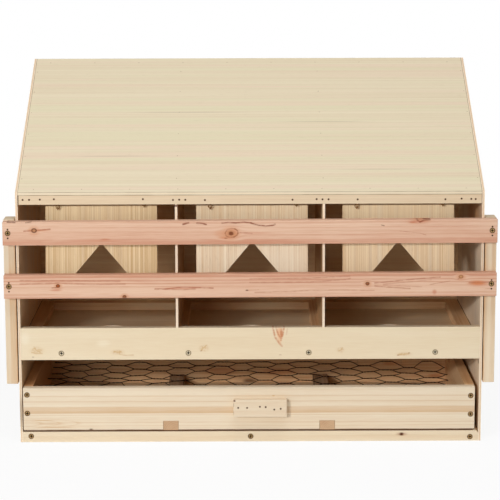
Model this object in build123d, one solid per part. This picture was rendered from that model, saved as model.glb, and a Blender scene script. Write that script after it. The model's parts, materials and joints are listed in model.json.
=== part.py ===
from build123d import *

import os
from math import atan2, ceil, cos, degrees, hypot, radians, sin, tan

# A three-nest laying box for hens: a pitched plywood body, three hanging flaps,
# a fold-down perch across the front, and an egg drawer with a wire net below the nests.
# Millimetres. X runs to the right as seen from the front, Y to the back, Z up.
# While modelling, y = 0 is the front edge of the side panels and z = 0 the ground.

# Nests and body
MIDDLE_NEST = 275.0          # clear width between the partitions
OUTER_NEST = 297.0           # clear width from a partition to a side panel
BODY_DEPTH = 410.0           # front edges to the outside of the back
ROOF_RISE = 219.0            # how much higher the roof is at the back
SIDE_PLY = 4.5
PARTITION_PLY = 4.3
BACK_PLY = 5.0
ROOF_PLY = 5.0
ARRIS = 0.8                  # rounding on the edges of planed boards

# Base frame
SILL_HEIGHT = 20.2
SILL_THICK = 18.0
SILL_END_ROUND = 7.0         # waney corner at the sill's right end
RUNNER_WIDTH = 32.0

# Nest floor, its lip board and the cleats around it
LIP_HEIGHT = 62.2
LIP_THICK = 18.0
FLOOR_THICK = 12.0
FLOOR_ABOVE_LIP_FOOT = 7.0   # underside of the floor above the lip's lower edge
EGG_HOLE = 56.0
EGG_HOLE_BACK = 197.0        # hole centre behind the front
EGG_HOLE_INWARD = 11.7       # outer holes lie this much towards the middle
EGG_HOLE_ROUND = 2.5
CLEAT_WIDTH = 28.0
CLEAT_HEIGHT = 15.0
PARTITION_CLEAT_WIDTH = 14.0

# Roof framing
HEADER_FACE = 17.7           # height of the header's front face
HEADER_END_GAP = 1.0
ROOF_CLEAT = 15.0            # square cleat under the roof at each side
REAR_RAIL_DEPTH = 20.0
REAR_RAIL_DROP = 24.0        # rail's lower edge below the roof at its front face

# Flaps and the linked screw eyes that they hang from
FLAP_SIDE_GAP = 31.4         # middle flap to each partition
FLAP_HEIGHT = 156.0
FLAP_PLY = 5.0
FLAP_LIP_GAP = 77.4          # lip's top edge to the flap's lower edge
FLAP_SHIFT = (7.3, 3.65, -8.2)  # each flap hangs a little off its nest's centre
FLAP_TOP_RISE = 3.15         # flap's top edge above the swing axis
FLAP_RAIL_CLEAR = 4.0        # flap's lower edge behind the front plane
NOTCH_RISES = (85.0, 87.2, 87.1)
NOTCH_SPREAD = 1.697         # width of a notch for its rise
EYE_EDGE = 24.3              # eyes in from the flap's side edges
EYE_SHIFT = (0.1, 2.6, 2.2)  # each pair of eyes sits a little to the right on its flap
EYE_STANDOFF = 7.0           # flap's face behind the swing axis
EYE_DROP_LEFT = 10.5         # swing axis below the header at the left eye
EYE_DROP_RIGHT = 5.9         # and at the right eye, screwed in further
EYE_INSET = 3.0              # header eyes in from the header's back face
HEADER_EYE_RADIUS = 3.2
HEADER_EYE_WIRE = 1.7
FLAP_EYE_RADIUS = 2.1
FLAP_EYE_WIRE = 1.6
EYE_SHANK_IN = 12.0          # header eye's thread in the header
FLAP_EYE_IN = 4.0            # flap eye's thread in the flap

# Perch frame that folds down
RAIL_HEIGHT = 44.8
RAIL_THICK = 20.3
RAIL_SPACE = 57.4            # clear height between the two rails
RAIL_TILT = 0.15             # rails rise a little to the right, degrees
RAIL_GAP = 0.5               # rails' backs in front of the side panels
RAIL_SHORT = 1.0             # rails' ends inside the posts' outer faces
POST_WIDTH = 21.7
POST_DEPTH = 42.0
POST_ABOVE_PIVOT = 282.2
POST_BELOW_PIVOT = 36.4
FOLD_CLEAR = 4.0             # folded rails above the drawer
PIVOT_ROOM = 10.0            # pivot centre to the lip's lower edge
PIVOT_BOLT = 6.0
PIVOT_HEAD = 12.0
PIVOT_RUNNING = 0.05         # radial clearance of the bolt in the post
PIVOT_WASHER = 16.0
PIVOT_WASHER_THICK = 2.0
PIVOT_SIDE_CLEAR = 0.1       # post's face off the washer
PIVOT_SLEEVE = 10.0          # threaded sleeve let into the side panel, flush with its inner face

# Egg drawer
DRAWER_HEIGHT = 83.7
DRAWER_BOARD = 18.0
DRAWER_SIDE_GAP = 4.8        # clearance each side when centred
DRAWER_SHIFT = -3.0          # it sits to the left of the middle
DRAWER_REAR_GAP = 7.0
DRAWER_RIDE = 0.2            # clearance above the runners and the sill
DRAWER_PLY = 2.8             # sheet under the drawer's frame
DRAWER_PLY_INSET = 4.0       # its edge behind the frame's outer faces
BATTEN_WIDTH = 29.4
BATTEN_HEIGHT = 18.0
BATTEN_SPACING = 301.0
BATTEN_FIT = 0.2             # clearance round a batten in its notch
HANDLE_WIDTH = 102.4
HANDLE_HEIGHT = 33.5
HANDLE_THICK = 15.0
HANDLE_SHIFT = 21.3
HANDLE_RISE = 45.9           # handle's centre above the drawer's lower edge
HANDLE_BRADS = ((-42.0, 1.4), (-25.0, 1.3), (-0.5, 3.4), (10.6, 2.8), (27.0, -2.2), (39.3, -0.7))

# Hexagonal wire net in the drawer
NET_RISE = 45.0              # above the drawer's lower edge
NET_WIRE = 1.6
NET_SIDE_GAP = 5.0
NET_COLUMN = 46.0            # column to column, along X
NET_ROW = 48.0               # twist to twist, along Y, drawn out to whole half cells
NET_TWIST = 26.0             # length of a twisted edge
NET_LEAST_CELL = 40.0        # smaller scraps of a cell at the border are left out, mm2
STAPLE_WIRE = 1.0
STAPLE_WIDTH = 8.0
STAPLE_LEG = 6.0

# Fasteners
SCREW_HEAD = 9.4
SCREW_HEAD_HEIGHT = 4.0
SCREW_RIM = 0.5              # countersink round the head
SCREW_SHANK = 4.0
SCREW_TIP = 6.0
SCREW_SINK = 0.5             # heads lie just below the wood
SCREW_SLOT = 1.5
SCREW_SLOT_SPAN = 6.0
SCREW_SLOT_DEEP = 2.0
SCREW_SOCKET = 3.2           # round middle of the cross
SCREW_LENGTH = 40.0
LIP_SCREW_X = (-361.5, -118.6, 111.7, 353.6)
DRAWER_SCREW_TOP = 15.5      # below the drawer's upper edge
DRAWER_SCREW_FOOT = 31.7     # above its lower edge
DRAWER_SCREW_SKEW = 2.2      # left screws sit higher by this, right ones lower
DRAWER_SCREW_OUT = 1.2       # off the middle of a drawer side, towards its outer face
SILL_SCREW_RISES = (1.6, 0.1, -2.2)  # above the middle of the sill, from left to right
PERCH_SCREW_RISE = 1.0       # above the middle of a rail
BRAD = 1.8
PIN = 2.4                    # stouter brads in the header, the perch and the handle
BRAD_LENGTH = 16.0
ROOF_NAIL_PITCH = 92.0       # along the eaves and the back edge
ROOF_NAIL_STEP = 69.0        # up the slope
ROOF_NAIL_EDGE = 10.0        # in from the front and back edges
SIDE_NAIL_EDGE = 5.0         # in from the roof's side edges
PANEL_NAIL_PITCH = 80.0
NAIL_END = 30.0              # rows of nails stop this far from the ends
PERCH_PIN_PLACES = (-9.4, 7.4)  # pins below and above each perch screw
# Header pins, driven by hand: place across, then height above the header's middle
HEADER_PINS = (
    (-428.9, 0.6), (-416.6, 0.6), (-396.4, 1.0), (-369.9, 1.6), (-202.0, 1.2), (-145.3, -0.4),
    (-133.6, 0.0), (-122.0, -0.2), (-85.0, -0.9), (80.3, -0.8), (125.8, 0.2), (136.9, -0.3),
    (148.3, -0.2), (203.3, -0.6), (368.9, -0.9), (399.5, 0.2), (417.8, -0.4), (426.1, -0.6),
)
HOLE_EASE = 0.05             # radial clearance of a fastener in its hole
CUT_OVER = 2.0               # how far a cutting tool stands out of the wood

# Worked-out sizes, from the ground up
inner_half = MIDDLE_NEST / 2 + PARTITION_PLY + OUTER_NEST
body_half = inner_half + SIDE_PLY
inner_back = BODY_DEPTH - BACK_PLY
partition_x = (MIDDLE_NEST + PARTITION_PLY) / 2
nest_x = partition_x + (PARTITION_PLY + OUTER_NEST) / 2
nest_centres = (-nest_x, 0.0, nest_x)

drawer_half = inner_half - DRAWER_SIDE_GAP
drawer_inner = drawer_half - DRAWER_BOARD
drawer_length = inner_back - DRAWER_REAR_GAP
drawer_foot = SILL_HEIGHT + DRAWER_RIDE + DRAWER_PLY
drawer_top = drawer_foot + DRAWER_HEIGHT

post_inner = body_half + PIVOT_WASHER_THICK + PIVOT_SIDE_CLEAR
post_outer = post_inner + POST_WIDTH
rail_half = post_outer - RAIL_SHORT
rail_back = -RAIL_GAP
rail_front = rail_back - RAIL_THICK
pivot_y = rail_back + POST_DEPTH / 2
pivot_z = drawer_top + FOLD_CLEAR + pivot_y - rail_front
post_foot = pivot_z - POST_BELOW_PIVOT
post_top = pivot_z + POST_ABOVE_PIVOT

lip_foot = pivot_z + PIVOT_ROOM
lip_top = lip_foot + LIP_HEIGHT
floor_foot = lip_foot + FLOOR_ABOVE_LIP_FOOT
floor_top = floor_foot + FLOOR_THICK
cleat_top = floor_top + CLEAT_HEIGHT

# A flap's weight hangs straight below its axis, so it leans out at its foot.
flap_width = MIDDLE_NEST - 2 * FLAP_SIDE_GAP
flap_foot = lip_top + FLAP_LIP_GAP
flap_top = flap_foot + FLAP_HEIGHT
notch_rise = sum(NOTCH_RISES) / len(NOTCH_RISES)
notch_area = NOTCH_SPREAD * notch_rise ** 2 / 2
flap_area = flap_width * FLAP_HEIGHT - notch_area
flap_moment = flap_width * FLAP_HEIGHT ** 2 / 2 - notch_area * notch_rise / 3
swing_z = flap_top - FLAP_TOP_RISE
weight_drop = swing_z - flap_foot - flap_moment / flap_area
flap_lean = atan2(EYE_STANDOFF + FLAP_PLY / 2, weight_drop)
flap_reach = (swing_z - flap_foot) * sin(flap_lean) - EYE_STANDOFF * cos(flap_lean)
swing_y = flap_reach + FLAP_RAIL_CLEAR
eye_half = flap_width / 2 - EYE_EDGE

header_foot = swing_z + (EYE_DROP_LEFT + EYE_DROP_RIGHT) / 2
header_depth = swing_y + EYE_INSET
roof_angle = atan2(ROOF_RISE, BODY_DEPTH)
roof_drop = ROOF_PLY / cos(roof_angle)
front_height = header_foot + HEADER_FACE + roof_drop
rear_rail_front = inner_back - REAR_RAIL_DEPTH

# The finished part's origin is on the ground, in the middle of its outline.
centre_y = (BODY_DEPTH + rail_front) / 2


def roof_over(y):
    """Height of the roof's upper face at a depth y."""
    return front_height + ROOF_RISE * y / BODY_DEPTH


def roof_under(y):
    """Height of the roof's lower face at a depth y."""
    return roof_over(y) - roof_drop


rear_rail_foot = roof_under(rear_rail_front) - REAR_RAIL_DROP


def bar(x, y, z):
    """Square-edged board between two limits on each axis."""
    middle = Pos((x[0] + x[1]) / 2, (y[0] + y[1]) / 2, (z[0] + z[1]) / 2)
    return middle * Box(x[1] - x[0], y[1] - y[0], z[1] - z[0])


def planed(x, y, z):
    """Planed board with slightly rounded edges."""
    board = bar(x, y, z)
    return fillet(board.edges(), ARRIS)


def slab(outline, x):
    """Panel with an outline of (y, z) corners, from one x to another."""
    face = Plane.YZ.offset(x[0]) * make_face(Polyline(*outline, close=True))
    return extrude(face, amount=x[1] - x[0], dir=(1, 0, 0))


def turned(outline):
    """Round piece about Z from an outline of (radius, z) corners."""
    return revolve(Plane.XZ * make_face(Polyline(*outline, close=True)), Axis.Z)


def spread(low, high, pitch):
    """Evenly spaced places from low to high, about a pitch apart."""
    steps = max(1, round((high - low) / pitch))
    return [low + (high - low) * i / steps for i in range(steps + 1)]


def at(shape, place, out):
    """Shape moved to a place, with its +Z turned to the outward direction."""
    return Plane(origin=place, z_dir=out).location * shape


def drilled(board, *groups):
    """Board with the holes of the given fasteners."""
    reach = board.bounding_box()
    tools = []
    for hole in [hole for group in groups for hole in group]:
        span = hole.bounding_box()
        apart = any(
            getattr(span.min, axis) > getattr(reach.max, axis)
            or getattr(span.max, axis) < getattr(reach.min, axis)
            for axis in "XYZ"
        )
        if not apart:
            tools.append(hole)
    return board - tools if tools else board


# Fasteners. Each is made head up, with the wood's face at z = 0, and its hole to match.


def wood_screw(length):
    """Countersunk cross-head screw, sunk a little below the face."""
    top = -SCREW_SINK
    neck = top - SCREW_HEAD_HEIGHT
    body = turned([
        (0, top), (SCREW_HEAD / 2, top), (SCREW_SHANK / 2, neck),
        (SCREW_SHANK / 2, SCREW_TIP - length), (0, -length),
    ])
    slot = Pos(0, 0, top) * Box(SCREW_SLOT_SPAN, SCREW_SLOT, 2 * SCREW_SLOT_DEEP)
    socket = Pos(0, 0, top) * Cylinder(SCREW_SOCKET / 2, 2 * SCREW_SLOT_DEEP)
    return body - [slot, Rot(0, 0, 90) * slot, socket]


def screw_hole(length):
    """Countersunk hole for such a screw."""
    wide = SCREW_HEAD / 2 + SCREW_RIM
    narrow = SCREW_SHANK / 2 + HOLE_EASE
    neck = -SCREW_SINK - SCREW_HEAD_HEIGHT
    return turned([
        (0, CUT_OVER), (wide, CUT_OVER), (wide, -SCREW_SINK), (narrow, neck),
        (narrow, -length - HOLE_EASE), (0, -length - HOLE_EASE),
    ])


def brad(length, width):
    """Small round nail, flush with the face."""
    return turned([(0, 0), (width / 2, 0), (width / 2, width - length), (0, -length)])


def brad_hole(length, width):
    """Hole that a brad fills."""
    wide = width / 2 + HOLE_EASE
    return turned([
        (0, CUT_OVER), (wide, CUT_OVER), (wide, -length - HOLE_EASE), (0, -length - HOLE_EASE),
    ])


def screws_at(places, out, length):
    """Screws and their holes at a list of places."""
    screw = wood_screw(length)
    hole = screw_hole(length)
    return [at(screw, p, out) for p in places], [at(hole, p, out) for p in places]


def brads_at(places, out, length, width=BRAD):
    """Brads and their holes at a list of places."""
    nail = brad(length, width)
    hole = brad_hole(length, width)
    return [at(nail, p, out) for p in places], [at(hole, p, out) for p in places]


FRONT = (0, -1, 0)
BACK = (0, 1, 0)
ROOF_UP = (0, -sin(roof_angle), cos(roof_angle))

lip_screw_z = floor_top - FLOOR_THICK / 2
lip_screws, lip_holes = screws_at([(x, 0, lip_screw_z) for x in LIP_SCREW_X], FRONT, SCREW_LENGTH)

runner_mid = inner_half - RUNNER_WIDTH / 2
sill_screw_x = (-runner_mid, 0, runner_mid)
sill_screws, sill_holes = screws_at(
    [(x, 0, SILL_HEIGHT / 2 + rise) for x, rise in zip(sill_screw_x, SILL_SCREW_RISES)],
    FRONT, SCREW_LENGTH,
)

upper_rail_mid = post_top - RAIL_HEIGHT / 2
lower_rail_mid = upper_rail_mid - RAIL_HEIGHT - RAIL_SPACE
post_mid = post_inner + POST_WIDTH / 2
rail_slope = tan(radians(RAIL_TILT))
perch_places = [
    (x, rail_front, z + PERCH_SCREW_RISE + x * rail_slope)
    for x in (-post_mid, post_mid) for z in (upper_rail_mid, lower_rail_mid)
]
perch_screws, perch_holes = screws_at(perch_places, FRONT, SCREW_LENGTH)
pin_places = [(x, y, z + d) for x, y, z in perch_places for d in PERCH_PIN_PLACES]
perch_pins, perch_pin_holes = brads_at(pin_places, FRONT, RAIL_THICK + BRAD_LENGTH / 2, PIN)

drawer_screw_reach = drawer_half - DRAWER_BOARD / 2 + DRAWER_SCREW_OUT
drawer_screw_z = (drawer_foot + DRAWER_SCREW_FOOT, drawer_top - DRAWER_SCREW_TOP)
drawer_corners = [
    (DRAWER_SHIFT + side * drawer_screw_reach, z - side * DRAWER_SCREW_SKEW)
    for side in (-1, 1) for z in drawer_screw_z
]
front_screws, front_holes = screws_at([(x, 0, z) for x, z in drawer_corners], FRONT, SCREW_LENGTH)
rear_screws, rear_holes = screws_at(
    [(x, drawer_length, z) for x, z in drawer_corners], BACK, SCREW_LENGTH
)

handle_x = DRAWER_SHIFT + HANDLE_SHIFT
handle_z = drawer_foot + HANDLE_RISE
handle_places = [(handle_x + x, -HANDLE_THICK, handle_z + z) for x, z in HANDLE_BRADS]
handle_brads, handle_holes = brads_at(handle_places, FRONT, HANDLE_THICK + DRAWER_BOARD / 2, PIN)


def roof_places():
    """Nail places on the roof: round its edges and over the partitions."""
    front = ROOF_NAIL_EDGE * cos(roof_angle)
    rear = BODY_DEPTH - front - BACK_PLY
    across = spread(NAIL_END - inner_half, inner_half - NAIL_END, ROOF_NAIL_PITCH)
    step = ROOF_NAIL_STEP * cos(roof_angle)
    slope = spread(front + NAIL_END, rear - NAIL_END, step)
    edge = inner_half - SIDE_NAIL_EDGE
    flat = [(x, y) for x in across for y in (front, rear)]
    flat += [(x, y) for x in (-edge, -partition_x, partition_x, edge) for y in slope]
    return [(x, y, roof_over(y)) for x, y in flat]


roof_nails, roof_holes = brads_at(roof_places(), ROOF_UP, BRAD_LENGTH)

flap_centres = [centre + shift for centre, shift in zip(nest_centres, FLAP_SHIFT)]
eye_middles = [centre + shift for centre, shift in zip(flap_centres, EYE_SHIFT)]
eye_places = [(c - eye_half, EYE_DROP_LEFT) for c in eye_middles]
eye_places += [(c + eye_half, EYE_DROP_RIGHT) for c in eye_middles]

header_half = inner_half - HEADER_END_GAP
header_pin_z = header_foot + HEADER_FACE / 2
pin_row = [(x, 0, header_pin_z + rise) for x, rise in HEADER_PINS]
header_pins, header_pin_holes = brads_at(pin_row, FRONT, BRAD_LENGTH, PIN)

cleat_mid = floor_top + CLEAT_HEIGHT / 2
side_rows = [(y, cleat_mid) for y in spread(LIP_THICK + NAIL_END, inner_back - NAIL_END, PANEL_NAIL_PITCH)]
side_rows += [
    (y, SILL_HEIGHT / 2)
    for y in spread(SILL_THICK + NAIL_END, inner_back - SILL_THICK - NAIL_END, PANEL_NAIL_PITCH)
]
left_nails, left_holes = brads_at([(-body_half, y, z) for y, z in side_rows], (-1, 0, 0), BRAD_LENGTH)
right_nails, right_holes = brads_at([(body_half, y, z) for y, z in side_rows], (1, 0, 0), BRAD_LENGTH)

back_row_x = spread(NAIL_END - inner_half, inner_half - NAIL_END, PANEL_NAIL_PITCH)
back_nails, back_holes = brads_at(
    [(x, BODY_DEPTH, SILL_HEIGHT / 2) for x in back_row_x], BACK, BRAD_LENGTH
)
nest_row_x = [c + d for c in nest_centres for d in (-PANEL_NAIL_PITCH, 0, PANEL_NAIL_PITCH)]
nest_nails, nest_holes = brads_at([(x, BODY_DEPTH, cleat_mid) for x in nest_row_x], BACK, BRAD_LENGTH)


def header_eye(x, drop):
    """Screw eye under the header, its ring facing the front, with its hole.

    An eye that is screwed in far enough sinks the top of its ring into the wood."""
    axis = header_foot - drop
    ring = Pos(x, swing_y, axis + HEADER_EYE_RADIUS)
    wire = HEADER_EYE_WIRE / 2
    foot = axis + 2 * HEADER_EYE_RADIUS
    length = header_foot + EYE_SHANK_IN - foot
    up = Align.CENTER, Align.CENTER, Align.MIN
    eye = ring * Rot(90, 0, 0) * Torus(HEADER_EYE_RADIUS, wire)
    eye += Pos(x, swing_y, foot) * Cylinder(wire, length, align=up)
    hole = Pos(x, swing_y, foot) * Cylinder(wire + HOLE_EASE, length + HOLE_EASE, align=up)
    hole += ring * Rot(90, 0, 0) * Torus(HEADER_EYE_RADIUS, wire + HOLE_EASE)
    return eye, hole


header_eyes, eye_holes = zip(*[header_eye(x, drop) for x, drop in eye_places])


# Body


def side_panel(x, holes):
    """Plywood side with a sloping top and a hole for the perch pivot."""
    outline = [(0, 0), (BODY_DEPTH, 0), (BODY_DEPTH, roof_over(BODY_DEPTH)), (0, front_height)]
    pivot = Cylinder(PIVOT_SLEEVE / 2 + HOLE_EASE, SIDE_PLY + 2 * CUT_OVER)
    middle = (sum(x) / 2, pivot_y, pivot_z)
    return drilled(slab(outline, x), holes, [at(pivot, middle, (1, 0, 0))])


def partition(x):
    """Plywood wall between two nests, cut round the lip, the header and the rear rail."""
    outline = [
        (0, lip_top), (LIP_THICK, lip_top), (LIP_THICK, floor_top), (inner_back, floor_top),
        (inner_back, rear_rail_foot), (rear_rail_front, rear_rail_foot),
        (rear_rail_front, roof_under(rear_rail_front)), (header_depth, roof_under(header_depth)),
        (header_depth, header_foot), (0, header_foot),
    ]
    return drilled(slab(outline, (x - PARTITION_PLY / 2, x + PARTITION_PLY / 2)), roof_holes)


def back_panel():
    """Plywood back between the sides, bevelled under the roof."""
    top = roof_under(inner_back)
    outline = [(inner_back, 0), (BODY_DEPTH, 0), (BODY_DEPTH, roof_under(BODY_DEPTH)), (inner_back, top)]
    return drilled(slab(outline, (-inner_half, inner_half)), roof_holes, back_holes, nest_holes)


def roof_panel():
    """Plywood roof between the sides, flush with their sloping edges."""
    outline = [
        (0, front_height), (BODY_DEPTH, roof_over(BODY_DEPTH)),
        (BODY_DEPTH, roof_under(BODY_DEPTH)), (0, roof_under(0)),
    ]
    return drilled(slab(outline, (-inner_half, inner_half)), roof_holes)


def roof_header():
    """Rail under the roof's front edge, bevelled on top, that carries the flaps."""
    outline = [
        (0, header_foot), (header_depth, header_foot),
        (header_depth, roof_under(header_depth)), (0, roof_under(0)),
    ]
    return drilled(slab(outline, (-header_half, header_half)), roof_holes, header_pin_holes, eye_holes)


def roof_cleat(x):
    """Cleat under the roof along a side panel."""
    deep = ROOF_CLEAT / cos(roof_angle)
    ends = (header_depth, rear_rail_front)
    outline = [(y, roof_under(y)) for y in ends] + [(y, roof_under(y) - deep) for y in reversed(ends)]
    return drilled(slab(outline, x), roof_holes)


def rear_roof_rail():
    """Rail under the roof's back edge."""
    outline = [
        (rear_rail_front, rear_rail_foot), (inner_back, rear_rail_foot),
        (inner_back, roof_under(inner_back)), (rear_rail_front, roof_under(rear_rail_front)),
    ]
    return drilled(slab(outline, (-inner_half, inner_half)), roof_holes)


def nest_floor():
    """One floor board under the three nests, with an egg hole in each."""
    board = bar((-inner_half, inner_half), (LIP_THICK, inner_back), (floor_foot, floor_top))
    for side in (-1, 0, 1):
        x = side * (nest_x - EGG_HOLE_INWARD)
        board -= Pos(x, EGG_HOLE_BACK, floor_top) * Cylinder(EGG_HOLE / 2, 2 * (FLOOR_THICK + CUT_OVER))
    rims = board.edges().filter_by(GeomType.CIRCLE).group_by(Axis.Z)[-1]
    return drilled(fillet(rims, EGG_HOLE_ROUND), lip_holes)


def nest_lip_board():
    """Board that keeps the bedding in, across the front of the nests."""
    board = planed((-inner_half, inner_half), (0, LIP_THICK), (lip_foot, lip_top))
    return drilled(board, lip_holes)


def front_sill():
    """Base board at the front, with a waney upper corner at its right end."""
    board = bar((-inner_half, inner_half), (0, SILL_THICK), (0, SILL_HEIGHT))
    corner = board.edges().filter_by(Axis.Y).sort_by_distance((inner_half, 0, SILL_HEIGHT))[0]
    return drilled(fillet(corner, SILL_END_ROUND), sill_holes)


def rear_sill():
    """Base board at the back."""
    board = bar((-inner_half, inner_half), (inner_back - SILL_THICK, inner_back), (0, SILL_HEIGHT))
    return drilled(board, back_holes)


def drawer_runner(x):
    """Rail that the drawer slides on, between the sills."""
    board = bar(x, (SILL_THICK, inner_back - SILL_THICK), (0, SILL_HEIGHT))
    return drilled(board, sill_holes, left_holes, right_holes)


def side_floor_cleat(x):
    """Cleat on the nest floor along a side panel."""
    board = bar(x, (LIP_THICK, inner_back), (floor_top, cleat_top))
    return drilled(board, left_holes, right_holes, nest_holes)


def rear_floor_cleats():
    """Cleats on the nest floor along the back, one in each nest."""
    y = (inner_back - CLEAT_WIDTH, inner_back)
    z = (floor_top, cleat_top)
    inside = partition_x - PARTITION_PLY / 2 - PARTITION_CLEAT_WIDTH
    spans = [
        (CLEAT_WIDTH - inner_half, -partition_x - PARTITION_PLY / 2),
        (-inside, inside),
        (partition_x + PARTITION_PLY / 2, inner_half - CLEAT_WIDTH),
    ]
    return [drilled(bar(x, y, z), nest_holes) for x in spans]


def partition_cleats():
    """Cleats at the foot of the partitions, in the middle nest."""
    near = partition_x - PARTITION_PLY / 2
    left = bar((-near, PARTITION_CLEAT_WIDTH - near), (LIP_THICK, inner_back), (floor_top, cleat_top))
    return [drilled(left, nest_holes), drilled(mirror(left, Plane.YZ), nest_holes)]


# Perch frame and its pivots


def pivot_outline(ease):
    """Half outline of the flush-headed pivot bolt, wider by a clearance."""
    radius = PIVOT_BOLT / 2 + ease
    head = PIVOT_HEAD / 2 + ease
    neck = -(PIVOT_HEAD - PIVOT_BOLT) / 2
    through = -(POST_WIDTH + post_inner - inner_half)
    return [(0, 0), (head, 0), (radius, neck), (radius, through), (0, through)]


def pivot_pieces(side):
    """Pivot bolt, the washer beside the post and the threaded sleeve in the side panel."""
    out = (side, 0, 0)
    bolt = at(turned(pivot_outline(0)), (side * post_outer, pivot_y, pivot_z), out)
    bore = at(turned(pivot_outline(PIVOT_RUNNING)), (side * post_outer, pivot_y, pivot_z), out)
    hole = Cylinder(PIVOT_BOLT / 2 + HOLE_EASE, 2 * (SIDE_PLY + PIVOT_WASHER_THICK))
    up = Align.CENTER, Align.CENTER, Align.MIN
    washer = Cylinder(PIVOT_WASHER / 2, PIVOT_WASHER_THICK, align=up) - hole
    sleeve = Cylinder(PIVOT_SLEEVE / 2, SIDE_PLY, align=up) - hole
    washer = at(washer, (side * body_half, pivot_y, pivot_z), out)
    sleeve = at(sleeve, (side * inner_half, pivot_y, pivot_z), out)
    return bolt, bore, washer, sleeve


left_pivot = pivot_pieces(-1)
right_pivot = pivot_pieces(1)


def perch_post(side, bore):
    """Arm of the perch frame, pivoted near its foot."""
    x = sorted((side * post_inner, side * post_outer))
    board = planed(x, (rail_back, rail_back + POST_DEPTH), (post_foot, post_top))
    return drilled(board, perch_holes, perch_pin_holes, [bore])


def perch_rail(middle):
    """Rail across the two posts."""
    z = (middle - RAIL_HEIGHT / 2, middle + RAIL_HEIGHT / 2)
    board = planed((-rail_half, rail_half), (rail_front, rail_back), z)
    board = board.rotate(Axis((0, 0, middle), (0, -1, 0)), RAIL_TILT)
    return drilled(board, perch_holes, perch_pin_holes)


# Flaps


def flap_pieces(centre, eye_middle, rise):
    """Flap with its notch and its two eyes, leaning as it hangs."""
    half = flap_width / 2
    notch_half = NOTCH_SPREAD * rise / 2
    outline = [
        (centre - half, flap_foot), (centre - notch_half, flap_foot),
        (centre, flap_foot + rise), (centre + notch_half, flap_foot),
        (centre + half, flap_foot), (centre + half, flap_top), (centre - half, flap_top),
    ]
    face_y = swing_y + EYE_STANDOFF
    sheet = Plane.XZ.offset(-face_y) * make_face(Polyline(*outline, close=True))
    board = extrude(sheet, amount=FLAP_PLY, dir=(0, 1, 0))
    wire = FLAP_EYE_WIRE / 2
    length = EYE_STANDOFF - FLAP_EYE_RADIUS + FLAP_EYE_IN
    ends = [(eye_middle - eye_half, swing_y, header_foot - EYE_DROP_LEFT)]
    ends += [(eye_middle + eye_half, swing_y, header_foot - EYE_DROP_RIGHT)]
    away = Align.CENTER, Align.CENTER, Align.MIN
    shank = Pos(0, 0, FLAP_EYE_RADIUS) * Cylinder(wire, length, align=away)
    eye = Rot(0, 90, 0) * Torus(FLAP_EYE_RADIUS, wire) + shank
    hole = Cylinder(wire + HOLE_EASE, FLAP_EYE_RADIUS + length + HOLE_EASE, align=away)
    eyes = [Pos(*end) * Rot(-90, 0, 0) * eye for end in ends]
    board = drilled(board, [Pos(*end) * Rot(-90, 0, 0) * hole for end in ends])
    axis = Axis(ends[0], Vector(*ends[1]) - Vector(*ends[0]))
    lean = -degrees(flap_lean)
    return board.rotate(axis, lean), [eye.rotate(axis, lean) for eye in eyes]


# Drawer

drawer_x = (DRAWER_SHIFT - drawer_half, DRAWER_SHIFT + drawer_half)
drawer_z = (drawer_foot, drawer_top)
inside_x = (DRAWER_SHIFT - drawer_inner, DRAWER_SHIFT + drawer_inner)
inside_y = (DRAWER_BOARD, drawer_length - DRAWER_BOARD)
batten_mids = [DRAWER_SHIFT + s * BATTEN_SPACING / 2 for s in (-1, 1)]
net_x = (inside_x[0] + NET_SIDE_GAP, inside_x[1] - NET_SIDE_GAP)
net_z = (drawer_foot + NET_RISE - NET_WIRE, drawer_foot + NET_RISE)
net_half_rows = round(2 * (inside_y[1] - inside_y[0]) / NET_ROW)
net_row = 2 * (inside_y[1] - inside_y[0]) / net_half_rows
net_columns = ceil((net_x[1] - net_x[0]) / 2 / NET_COLUMN)


def staple(x, wall, inward):
    """Staple over the net's edge wire, its legs in a drawer board, with its slots."""
    middle = net_z[0] + NET_WIRE / 2
    crown = wall + inward * (NET_WIRE + HOLE_EASE)
    leg_mid = (STAPLE_WIDTH - STAPLE_WIRE) / 2
    pieces = [bar(
        (x - STAPLE_WIRE / 2, x + STAPLE_WIRE / 2), sorted((crown, crown + inward * STAPLE_WIRE)),
        (middle - STAPLE_WIDTH / 2, middle + STAPLE_WIDTH / 2),
    )]
    slots = []
    for z in (middle - leg_mid, middle + leg_mid):
        for ease, group in ((0, pieces), (HOLE_EASE, slots)):
            half = STAPLE_WIRE / 2 + ease
            y = sorted((crown, wall - inward * (STAPLE_LEG + ease)))
            group.append(bar((x - half, x + half), y, (z - half, z + half)))
    return pieces[0] + pieces[1:], slots


def staple_row(odd, wall, inward):
    """Staples along one edge of the net, each in the middle of a half cell."""
    columns = [c for c in range(1 - net_columns, net_columns) if c % 2 == odd]
    return zip(*[staple(DRAWER_SHIFT + c * NET_COLUMN, wall, inward) for c in columns])


front_staples, front_slots = staple_row(0, inside_y[0], 1)
rear_staples, rear_slots = staple_row(net_half_rows % 2, inside_y[1], -1)


def drawer_end(y, *holes):
    """Front or back board of the drawer, notched over the two battens."""
    board = planed(drawer_x, y, drawer_z)
    half = BATTEN_WIDTH / 2 + BATTEN_FIT
    for x in batten_mids:
        notch_z = (drawer_foot - CUT_OVER, drawer_foot + BATTEN_HEIGHT + BATTEN_FIT)
        board -= bar((x - half, x + half), (y[0] - CUT_OVER, y[1] + CUT_OVER), notch_z)
    return drilled(board, *holes)


def drawer_side(x):
    """Side board of the drawer, between the end boards."""
    return drilled(bar(x, inside_y, drawer_z), front_holes, rear_holes)


def drawer_bottom():
    """Thin sheet under the drawer's frame and battens."""
    x = (drawer_x[0] + DRAWER_PLY_INSET, drawer_x[1] - DRAWER_PLY_INSET)
    y = (DRAWER_PLY_INSET, drawer_length - DRAWER_PLY_INSET)
    return bar(x, y, (drawer_foot - DRAWER_PLY, drawer_foot))


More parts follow.
